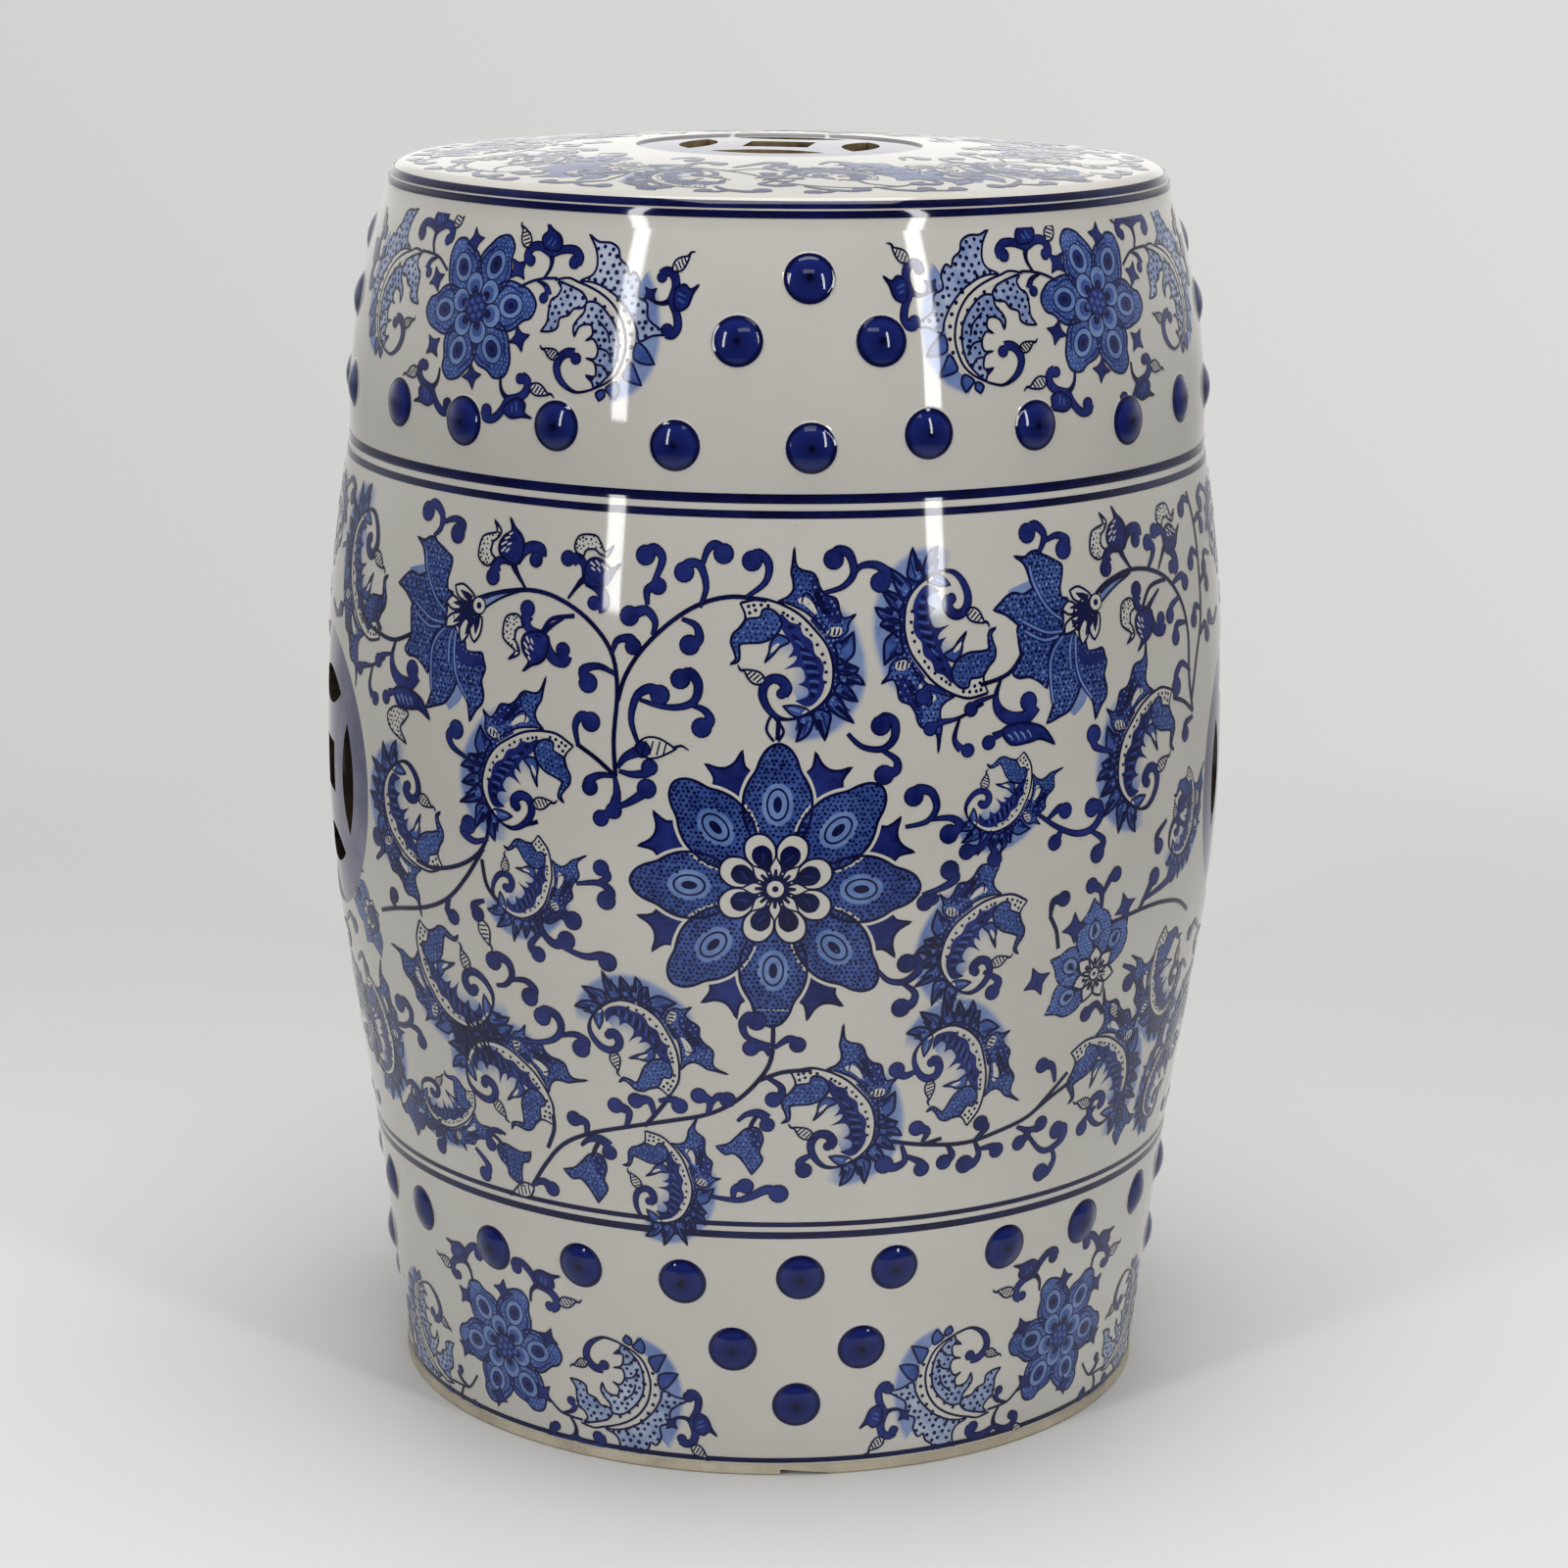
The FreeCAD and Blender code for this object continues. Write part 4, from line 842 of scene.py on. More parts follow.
BODY_HOOKS = (
    # each runs from its stem to the middle of its ball, by angle and height
    ((-14.5, 311), (-14.2, 315.5), (-15.4, 319.2), (-17.4, 317)),
    ((-15.2, 321), (-15.3, 326), (-14, 327.5)),
    ((-15.2, 325), (-14.2, 331), (-13.6, 337), (-14.7, 340), (-15.7, 337.6)),
    ((-8.9, 321), (-8.2, 328), (-9.0, 335), (-10.4, 335.4), (-10.9, 332.6)),
    ((-8.9, 333), (-8.2, 340), (-7.2, 342), (-6.2, 339.2)),
    ((-3.4, 325), (-1.2, 330), (-0.8, 336), (-2, 339.4), (-2.8, 337)),
    ((-11, 317), (-9.3, 315), (-8.9, 310.4), (-10, 308.4)),
    ((-19.4, 304), (-18.8, 308.4), (-17.2, 309.4), (-16.8, 306.8)),
    ((5.7, 326.5), (8, 328.5), (9.3, 333), (8.8, 339.2), (7.5, 340.4), (6.9, 337.6)),
    ((9.2, 332), (10.2, 335.2), (12, 335.4), (13.3, 332.6), (12.5, 329.6)),
    ((8.5, 279), (10.2, 274.4), (12.6, 273.4), (14, 277), (14, 282.4), (12.8, 284), (12.4, 281.4)),
    ((12.4, 273.2), (14.2, 269.6), (14.3, 266), (12.8, 264.4)),
    ((15.4, 246), (18, 247.4), (19.2, 252), (18.6, 257.4), (17, 258.8), (16.4, 256.4)),
    ((18.2, 248), (21, 248), (22.2, 245), (20.8, 242.4)),
    ((12.6, 195), (14, 191), (16, 190.4), (17.6, 194), (17.3, 198.2), (16.1, 197)),
    ((15.6, 190), (17.3, 186), (17.1, 182), (15.7, 180.6)),
    ((17.6, 221.6), (20, 223.4), (21.8, 226.4), (21, 229.6)),
    ((18.6, 222), (19.4, 219.8), (18, 218.6)),
    ((-18.8, 251), (-17.3, 252.8), (-15.6, 256), (-14.8, 258.6)),
    ((-18.8, 255), (-19.2, 250), (-20.4, 247)), ((-18.7, 262), (-18.4, 256), (-18.8, 250)),
    ((-18.2, 264), (-16.6, 263.2), (-14.9, 264), (-14.5, 266)),
    ((-18.4, 265), (-17.4, 269), (-15.4, 272)),
    ((-15.9, 274), (-16.8, 282), (-16.2, 290), (-14.6, 293), (-13.4, 291)),
    ((-15.8, 289), (-13.2, 287.2), (-10.8, 287.4), (-9.2, 290), (-8.9, 295.4), (-9.9, 299),
     (-11, 296.8)), ((-10, 288.4), (-8.1, 286.6), (-7.4, 283), (-8.4, 280.6)),
    ((-47.2, 335.5), (-46, 338.6), (-46, 343.4), (-47.6, 346.4), (-48.8, 343.4)),
    ((-46.2, 340), (-43.6, 342.6), (-42, 341), (-42.8, 337.8)),
    ((-18.9, 297), (-21, 299.2), (-23, 297.4), (-22.3, 293.2)),
    ((-23.3, 271), (-23.8, 278), (-23, 281.8), (-21.8, 280)),
    ((-18.8, 262), (-20.5, 262), (-22, 259.6), (-21.8, 257.4)),
    ((-39, 261), (-41.5, 264), (-42.2, 268), (-41, 270.4)),
    ((-35.8, 234), (-38, 232), (-39.8, 234.8), (-38.9, 237.6)),
    ((-42.6, 209), (-43.2, 204.4), (-42.2, 202)), ((-54, 198), (-54.8, 201), (-54.2, 202.8)),
    ((-36.8, 211), (-38.6, 208.6), (-38, 205.4)),
    ((-36, 180), (-34.5, 181), (-33.4, 185), (-33.8, 189.6), (-35.4, 191.2), (-36.1, 189)),
    ((-34, 183), (-31.5, 184), (-30.2, 181), (-31, 178)),
    ((-36, 161), (-31, 161), (-28, 163.4), (-26.8, 168), (-27.3, 172.6), (-28.9, 174),
     (-29.4, 171.4)), ((-28, 164.4), (-25, 166.6), (-23.4, 164.2), (-24.2, 161.6)),
    ((-28.8, 210), (-28.4, 203.6), (-26.8, 199.6), (-25.2, 201.6)),
    ((-28.3, 204), (-30.2, 198), (-29.2, 194.8)),
    ((-26.6, 199.8), (-23, 196.6), (-20.6, 197.6), (-19.9, 195.4)),
    ((-28.6, 207), (-26, 210.6), (-24.2, 209.2)),
    ((-23.6, 222.8), (-20.6, 224), (-19.2, 221), (-19.8, 218)),
    ((-21.4, 223.6), (-19.6, 226), (-20.4, 229.4)),
    ((-61, 151), (-57, 151), (-54.5, 154), (-54, 158.6), (-55.3, 161.4), (-56.8, 159.6)),
    ((-55.4, 152.6), (-52.8, 152), (-52.2, 148)),
    ((-50.4, 119), (-53, 114), (-55.2, 116.4), (-56, 114.4)),
    ((-51.4, 116), (-50.2, 111.6), (-51.1, 108)), ((-43.4, 113), (-41.2, 107.4), (-42, 103.6)),
    ((-33.7, 104), (-31.8, 106.8), (-30.3, 104.6)), ((-24.4, 128), (-24.3, 133), (-26, 134)),
    ((-18.8, 133), (-18.2, 139.4), (-20, 141.4)), ((-14.8, 139), (-15.4, 144.6), (-17.2, 144.2)),
    ((-14.2, 145), (-12.2, 145.8), (-11.5, 143.6)), ((-8, 141), (-7.6, 146), (-9, 148)),
    ((-7.8, 144), (-6.6, 148), (-5.4, 147)), ((-0.2, 164), (-0.9, 167.4), (-2.5, 166.8)),
    ((0, 168), (-2.8, 170.6), (-3.5, 175.6), (-2.7, 178.8), (-1.8, 177)),
    ((0.4, 167), (2.1, 170.4), (3.2, 168.2)),
    ((-0.6, 156), (1.2, 152.4), (1.2, 148.6), (0.3, 147.4)),
    ((5.8, 127), (3.8, 123.6), (4.3, 120.2)),
    ((-8, 109.6), (-4.5, 108.4), (-2.5, 110), (-0.4, 112.8), (1.1, 111.2)),
    ((-4.8, 108.4), (-4.6, 112.6), (-3.2, 114)),
    ((17, 128), (17.6, 122), (16.2, 119.6), (14.8, 121)), ((17.4, 124), (19.8, 120.6), (20, 118)),
    ((23.4, 126), (24.2, 122), (23.1, 119.6)),
    ((27.4, 126), (28.2, 120.6), (27.4, 117.2), (26.2, 117.6)),
    ((28, 122.6), (30.2, 122.8), (30.9, 121)), ((19.8, 128.4), (20.4, 132.4), (18.9, 134)),
    ((27.4, 126.6), (28.9, 130.6), (28, 132.8)), ((33.8, 128.6), (35.9, 125.2), (34.5, 122)),
    ((35, 127.2), (37.4, 126), (37.9, 127.8)), ((18.6, 156.6), (16.8, 154.6), (15.7, 157.2)),
    ((35.4, 126), (38, 118), (40, 116.4), (42.2, 119.4), (42.3, 123.6), (41, 123.4)),
    ((40.4, 117), (41.2, 112), (40.2, 107.4), (39, 108)),
    ((39.4, 143), (38.6, 149.4), (36.8, 150.8)), ((35.3, 208), (35.6, 213), (37.2, 213.4)),
    ((26.2, 191), (28.4, 187), (27.7, 182.8)), ((43.8, 207), (43.4, 213.4), (41.7, 216)),
    ((43.6, 211), (45, 217), (46, 218)), ((49.6, 181.6), (52.2, 178), (51.4, 173.8)),
    ((46.7, 165), (45.2, 169.6), (43.4, 166.8)), ((48.4, 128), (46.3, 123.6), (46, 121)),
    ((51.4, 201.6), (53, 207.4), (54.3, 212.2)), ((52.6, 205), (57.2, 208), (58.9, 210.6)),
    ((26.4, 242), (25, 236.8), (23.1, 235.6)), ((25.6, 239), (26.8, 234.4), (26.8, 231.8)),
    ((32.6, 246), (35.4, 240.4), (38.4, 236.6), (41, 236.8), (42.6, 241), (42.2, 245.2),
     (41.1, 244.6)), ((34, 243), (35.8, 246.6), (36.8, 245.4)),
    ((36.4, 239.4), (35.8, 236.6), (35.3, 234.6)), ((40.8, 236.6), (43.2, 232), (42.3, 227.4)),
    ((44.6, 263), (41.6, 266), (41.3, 270.6)),
    ((33.3, 335), (34.2, 338), (34.6, 342), (33.3, 345.2), (32.1, 342.8)),
    ((34.3, 339), (36.5, 341), (38.1, 339), (37.5, 336)), ((62, 301), (59.4, 301.4), (58.9, 297)),
    ((62.8, 283), (60.4, 287), (58.7, 284), (58.6, 279.4)), ((63.4, 266), (61.2, 264.8), (61, 261)),
    ((-57, 298), (-59, 303), (-58, 306.4)), ((20.4, 291), (18.2, 293.4), (17.6, 290.6)),
    ((58.6, 316), (61.4, 318), (62.6, 315)), ((60.6, 311), (58.2, 308.6), (57.6, 305.4)),
    ((53, 323.8), (54.6, 330), (53.4, 333)), ((-63, 228), (-60, 232), (-60.6, 236.6), (-62, 235.4)),
    ((-58, 214), (-56, 219), (-57.4, 222.6)), ((62, 226), (59.4, 231), (60.4, 235.6)),
    ((56.4, 232), (54.2, 227.6), (54.8, 223.2)), ((-62.6, 182), (-60, 187), (-61, 191)),
    ((66.6, 342), (64.6, 344), (63.4, 340.6)), ((67.6, 334), (70, 336), (71, 331.6)),
    ((68, 322), (65.8, 325), (65, 321)), ((68, 312), (70.4, 315), (71.2, 310.4)),
    ((67.6, 303), (65.6, 305), (64.8, 300.4)), ((66.6, 294), (69, 297), (70, 292.6)),
)
BODY_BUDS = (
    # angle, height, size, turn, mirrored
    (-31.3, 322.6, 1.0, 0, False), (-25.4, 321.0, 0.92, -76, False), (-25.8, 314.3, 1.0, 163, True),
    (49.6, 324.6, 1.0, 0, False), (55.5, 322.8, 0.92, -76, False), (55.2, 316.0, 1.0, 163, True),
    (-62.6, 206.0, 0.9, 60, False),
)
BODY_KNOT_BUDS = ((-50.0, 280.0), (30.8, 278.0))
BODY_SIMPLE_BUDS = (
    (-24.2, 114.8, 0.95, 0, False), (-3.2, 130.2, 0.9, 0, False), (-36.6, 113.6, 0.85, 30, True),
    (-58.0, 118.0, 0.8, 0, False), (56.0, 118.0, 0.8, 0, True))
BODY_SEED_BUDS = ((-16.2, 272.6, 0, 1.35), (-37.6, 203.6, -72, 0.9), (-33.4, 103.4, 200, 1.0),
                  (48.4, 168.0, -60, 0.8))
BODY_STARS = ((34.2, 184, 1.1, 25), (39.4, 201.5, 1.1, 5), (48.4, 204.5, 1.1, 20))


def turned_leaf(sheet, angle, height, radius, stem, clockwise, tall=1.0):
    """A curled leaf whose stem joins at this angle on its ring."""
    turn = stem - 120 if clockwise else stem - 60
    half = "leaves_front" if -90 < angle < 90 else "leaves_back"
    brush = Brush(sheet, (angle, height), turn, radius / 20, not clockwise, piece=half)
    brush.across = (brush.across[0], brush.across[1] * tall)
    brush.up = (brush.up[0], brush.up[1] * tall)
    body_leaf(brush, int(angle) % 7)


def local_path(sheet, middle, knots):
    """A brush at a path's first knot, and the path about it in millimetres."""
    angle, height = knots[0]
    per_degree = math.radians(wall_radius(height))
    return (Brush(sheet, (middle + angle, height)),
            [((x - angle) * per_degree, y - height) for x, y in knots])


def vine(brush, path, half=0.8):
    brush.stroke("ink", 4.9, even(path, half))


def comma(brush, path):
    """A hook that swells from knot to knot."""
    swelling = [point + (0.8 + 0.4 * i,) for i, point in enumerate(path)]
    brush_hook(brush, swelling, path[-1], 3.1)


def paint_body(sheet, middle):
    """The scroll on one half of the body."""
    big_flower(Brush(sheet, (middle + 0.3, 225.3), -1.0))
    for angle, height in ((-38.2, 314.7), (42.3, 316.3)):
        side_lotus(Brush(sheet, (middle + angle, height)))
    half_flower(Brush(sheet, (middle + 43.8, 182.0), 4, 0.94))
    half_flower(Brush(sheet, (middle - 61.6, 190.0), 80, 0.6))
    for angle, height, radius, stem, clockwise, tall in BODY_LEAVES:
        turned_leaf(sheet, middle + angle, height, radius, stem, clockwise, tall)
    for knots in BODY_VINES:
        vine(*local_path(sheet, middle, knots))
    for knots in BODY_HOOKS:
        brush, path = local_path(sheet, middle, knots)
        swell = [0.75 + 1.5 * i / (len(path) - 1) for i in range(len(path))]
        reach = sum(math.dist(p, q) for p, q in zip(path, path[1:]))
        ball = 3.6 if reach > 13 else 3.05
        brush_hook(brush, [point + (half,) for point, half in zip(path, swell)], path[-1], ball)
    for angle, height in BODY_KNOT_BUDS:
        knot_bud(Brush(sheet, (middle + angle, height)), angle < 0)
    for angle, height, turn, size in BODY_SEED_BUDS:
        seed_bud(Brush(sheet, (middle + angle, height)), 0, 0, turn, size)
    for angle, height, size, turn, mirror in BODY_BUDS:
        lotus_bud(Brush(sheet, (middle + angle, height), turn, size, mirror))
    for angle, height, size, turn, mirror in BODY_SIMPLE_BUDS:
        simple_bud(Brush(sheet, (middle + angle, height), turn, size, mirror))
    for angle, height, size, turn in BODY_STARS:
        star(Brush(sheet, (middle + angle, height)), 0, 0, size, turn)
    heart = Brush(sheet, (middle + 0.2, 276.5))
    heart.stroke("ink", 4.9, [(-0.6, 0, 0.5), (-3.2, 4.0, 0.5), (-1.6, 8.6, 0.5), (0.6, 6.8, 0.5),
                              (2.6, 3.4, 0.5), (0.8, 0, 0.5)])


SIDE_HOOKS = (
    # away from the side's middle, on both sides of it, above and below the coin
    ((1.4, 300), (4.6, 297), (7.4, 299), (6.6, 303)), ((0.6, 312), (3.4, 315), (3.8, 310)),
    ((0.6, 330), (3.4, 334), (5.4, 331)), ((0.4, 340), (3, 345), (5.6, 344), (5, 340)),
    ((13, 299), (16, 295), (18.4, 298)), ((14, 341), (17, 345), (19.4, 342), (18.4, 339)),
    ((16, 320), (19, 322), (19.6, 317)), ((8, 172), (12, 176), (15, 173), (13.6, 169)),
    ((10, 112), (13, 107), (16, 109)), ((4.6, 112), (6.6, 106.6), (9, 108.4)),
    ((19, 166), (21.6, 170), (22.6, 165)), ((15, 178), (18, 183), (20.4, 180)),
)
EDGE_HOOKS = (
    # away from the coin's back edge
    ((0, 287), (-2.8, 290), (-3.6, 285)), ((0.4, 283), (3, 286), (3.8, 281)),
    ((0, 240), (-2.8, 243), (-3.4, 238)), ((0.4, 235), (3, 238), (3.8, 233)),
    ((0, 190), (-2.8, 192), (-3.6, 187)), ((0.4, 186), (3, 189), (3.8, 184)),
)
EDGE_VINES = (((0, 294), (0.8, 286), (1.4, 278)), ((0, 248), (0.6, 238), (1.4, 226)),
              ((0, 194), (0.6, 188), (0, 180)))


def paint_side(sheet, middle, edge):
    """Between the two halves: leaves over the coin, a flower under it, commas behind it."""
    small_flower(Brush(sheet, (middle, 146.0), 8, 0.95))
    for side in (-1, 1):
        for away, height, radius, stem in ((9.4, 321.0, 16.0, 215), (14.6, 140.0, 15.0, 150)):
            turned_leaf(sheet, middle + away * side, height, radius,
                        stem if side > 0 else 180 - stem, side > 0)
        for knots in SIDE_HOOKS:
            comma(*local_path(sheet, middle, [(angle * side, height) for angle, height in knots]))
    for height in (262.0, 210.0):
        turned_leaf(sheet, edge, height, 12.6, 80, True)
    vine(*local_path(sheet, middle, ((0, 293), (0.8, 308), (-0.6, 326), (0.4, 346))))
    for knots in EDGE_VINES:
        vine(*local_path(sheet, edge, knots))
    for knots in EDGE_HOOKS:
        comma(*local_path(sheet, edge, knots))


SPRAY_STARS = ((-6.3, 22.1, 15), (17.1, 14.3, 45), (21.4, -8.5, 20), (1.6, -22.8, 10),
               (-20.0, -14.7, 40), (-23.7, 7.7, 25))


def paint_spray(sheet, middle, height, under=False, mirror=False):
    """A flower between two curled leaves, on the upper band or, upside down, on the lower one."""
    lift = 9.0 if under else 0.0
    upright = Brush(sheet, (middle, height), 0, 1.0, mirror)
    small_flower(upright)
    whole = Brush(sheet, (middle, height), 0, 1.0, mirror, -1.0 if under else 1.0)
    for side, reach, rise in ((1, 45.7, -6.2), (-1, 48.6, -2.4)):
        half = whole.branch(0, 0, 0, 1.0, side < 0)
        grow = rise + 6.2 + lift
        band_leaf(half.branch(reach, rise + lift * 1.2, 2))
        half.piece = "sprays"
        half.stroke("ink", 4.9, [(18.4, 8.4 + grow * 0.7, 0.5), (24.0, 10.8 + grow, 0.5),
                                 (29.0, 12.0 + grow, 0.5), (reach - 11.6, 12.4 + grow, 0.5)])
        brush_hook(half,
                   [(25.6, 11.2 + grow, 0.4), (29.8, 9.6 + grow, 1.0), (31.4, 6.6 + grow, 1.5)],
                   (29.6, 5.6 + grow), 1.9)
        trefoil(half.branch(28.6, 12.0 + grow), bud=not under)
        trefoil(half.branch(14.8, -21.7, -141))
        trefoil(half.branch(reach + 23.6, 7.7 + grow * 0.9, -82, 0.95))
        star(half, reach + 24.0, 9.0 + grow * 0.9, 0.55, 40)
    for x, y, turn in SPRAY_STARS:
        star(whole, x, y, 0.85, turn)


wall_sheet = WallSheet()
for middle in (0.0, 180.0):
    paint_body(wall_sheet, middle)
    paint_spray(wall_sheet, middle - 42.6, 414.9)
    paint_spray(wall_sheet, middle + 46.2, 418.0, mirror=True)
    paint_spray(wall_sheet, middle - 41.6, 35.6, True)
    paint_spray(wall_sheet, middle + 47.5, 38.0, True, True)
paint_side(wall_sheet, 90.0, 109.6)
paint_side(wall_sheet, -90.0, -103.0)


def seat_spot(azimuth, radius):
    return (radius * math.sin(math.radians(azimuth)), -radius * math.cos(math.radians(azimuth)))


def seat_path(sheet, start, knots):
    """A brush at the seat's middle and a path of azimuths and radii about it."""
    return Brush(sheet, (0, 0)), [seat_spot(start + azimuth, radius) for azimuth, radius in knots]


SEAT_HOOKS = (
    # azimuth from the fifth's lotus and distance from the middle
    ((12, 122), (9, 127), (6, 131), (3.6, 130)), ((8, 128), (11, 132.4), (14, 131)),
    ((16, 124), (19.4, 128), (22.6, 130.6), (23.4, 127.6)),
    ((31, 124), (33, 130), (36.4, 133), (38.6, 130.6)), ((34, 131), (32, 134), (30, 133)),
    ((45, 122), (48, 128), (51.8, 131), (53.6, 128.4)), ((50, 129), (48, 133), (46, 133)),
    ((56, 124), (58.6, 130), (62, 132.6), (63.6, 129.6)), ((60.6, 131), (66, 134), (68.4, 131.6)),
    ((40, 112), (38, 118), (40.6, 121.4), (42.4, 119)),
    ((41, 90), (38, 84), (39.6, 78), (43.2, 80)), ((62, 92), (65, 84), (62.4, 78), (59.6, 81)),
    ((20, 88), (18, 80), (21, 74), (25, 76)), ((30, 84), (34, 76), (38, 70), (41, 72)),
    ((52, 74), (56, 68), (60, 70), (60, 74)), ((67, 112), (68.6, 118), (66.6, 122), (64.4, 120)),
    ((8, 70), (12, 64), (16, 66), (15.4, 70)),
)
SEAT_VINES = (
    ((8, 92), (14, 88), (22, 88), (30, 92), (36, 100), (40, 110), (45, 120), (52, 125), (60, 124),
     (66, 116)), ((30, 92), (36, 86), (44, 84), (52, 86)),
    ((14, 88), (11, 98), (12, 110), (12, 122)), ((52, 86), (60, 90), (66, 88), (70, 82)),
    ((60, 124), (56, 118), (55, 110)),
)


def paint_seat(sheet, start):
    """A fifth of the scroll round the seat: a lotus, two curled leaves and hooks at the rim."""
    lotus = Brush(sheet, seat_spot(start, 96), start + 8, 0.92)
    lotus.join(15, 8, 0, 1.0, False)
    side_lotus(lotus)
    body_leaf(Brush(sheet, seat_spot(start + 26, 109), start + 200, 0.84), 4)
    body_leaf(Brush(sheet, seat_spot(start + 52, 101), start + 320, 0.66, True), 5)
    for knots in SEAT_VINES:
        vine(*seat_path(sheet, start, knots), 0.62)
    for knots in SEAT_HOOKS:
        brush, path = seat_path(sheet, start, knots)
        brush_hook(brush, [point + (half,) for point, half in zip(path, (0.8, 1.3, 1.9, 2.3))],
                   path[-1], 3.4)
    for azimuth, radius, turn, size in ((10, 114, 30, 0.8), (44, 96, 150, 0.7)):
        lotus_bud(Brush(sheet, seat_spot(start + azimuth, radius), start + turn, size))


seat_sheet = SeatSheet()
for fifth in range(5):
    paint_seat(seat_sheet, 31 + 72 * fifth)


# Modelling

def begin():
    bpy.ops.object.select_all(action="DESELECT")


def settle(piece, name, finish, slot, *nodes):
    """Names a finished piece, sets its material and fixes it to the stool."""
    piece.name = name
    piece.data.name = name
    if finish is not None:
        piece.data.materials.clear()
        piece.data.materials.append(finish)
    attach(piece, "root")
    if nodes:
        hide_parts(*nodes)


def turned(outline, sides, pole=False):
    """A turned form: a ring drawn out from point to point of an outline of radius and height."""
    begin()
    radius, height = outline[0]
    bpy.ops.mesh.primitive_circle_add(vertices=sides, radius=radius * MM,
                                      location=(0, 0, height * MM))
    piece = bpy.context.object
    bpy.ops.object.transform_apply(location=True, rotation=True, scale=True)
    bpy.ops.object.mode_set(mode="EDIT")
    bpy.ops.mesh.select_all(action="SELECT")
    for (r0, z0), (r1, z1) in zip(outline, outline[1:]):
        bpy.ops.mesh.extrude_edges_move(TRANSFORM_OT_translate={"value": (0, 0, (z1 - z0) * MM)})
        bpy.ops.transform.resize(value=(r1 / r0, r1 / r0, 1), center_override=(0, 0, z1 * MM))
    if pole:
        bpy.ops.mesh.merge(type="CENTER")
    bpy.ops.mesh.select_all(action="SELECT")
    bpy.ops.mesh.remove_doubles(threshold=1e-6)
    bpy.ops.mesh.normals_make_consistent(inside=False)
    bpy.ops.object.mode_set(mode="OBJECT")
    bpy.ops.object.shade_smooth()
    return piece


def cut_away(piece, cutter):
    begin()
    piece.select_set(True)
    bpy.context.view_layer.objects.active = piece
    cut = piece.modifiers.new("cut", "BOOLEAN")
    cut.operation = "DIFFERENCE"
    cut.solver = "EXACT"
    cut.object = cutter
    bpy.ops.object.modifier_apply(modifier=cut.name)
    bpy.data.objects.remove(cutter)


# Where a drawn spot lies on the stool

def wall_place(angle, height, rise):
    """A place on the wall and its outward direction."""
    slope = (wall_radius(height + 1.2) - wall_radius(height - 1.2)) / 2.4
    length = math.hypot(1, slope)
    radius = wall_radius(height) + rise / length
    up = height - slope * rise / length
    sin, cos = math.sin(math.radians(angle)), math.cos(math.radians(angle))
    return (Vector((radius * sin, -radius * cos, up)) * MM,
            Vector((sin / length, -cos / length, -slope / length)))


def seat_place(x, y, rise):
    """A place on the seat and its outward direction; the skin follows the dome."""
    radius = math.hypot(x, y)
    outward = Vector((x, y, math.sqrt(DOME ** 2 - radius ** 2))) / DOME
    return Vector((x, y, seat_height(radius) + rise)) * MM, outward


def sliced(shape, axis, cuts):
    """A convex flat shape cut along lines across one axis."""
    parts = []
    for cut in cuts:
        if cut <= min(p[axis] for p in shape) or cut >= max(p[axis] for p in shape):
            continue
        below, above = [], []
        for p, q in zip(shape, shape[1:] + shape[:1]):
            if p[axis] <= cut:
                below.append(p)
            if p[axis] >= cut:
                above.append(p)
            if (p[axis] - cut) * (q[axis] - cut) < 0:
                share = (cut - p[axis]) / (q[axis] - p[axis])
                between = tuple(a + (b - a) * share for a, b in zip(p, q))
                below.append(between)
                above.append(between)
        parts.append(below)
        shape = above
    return [part for part in parts + [shape] if len(part) > 2]


def grid_lines(low, high, step):
    return [i * step for i in range(math.floor(low / step), math.ceil(high / step) + 1)]


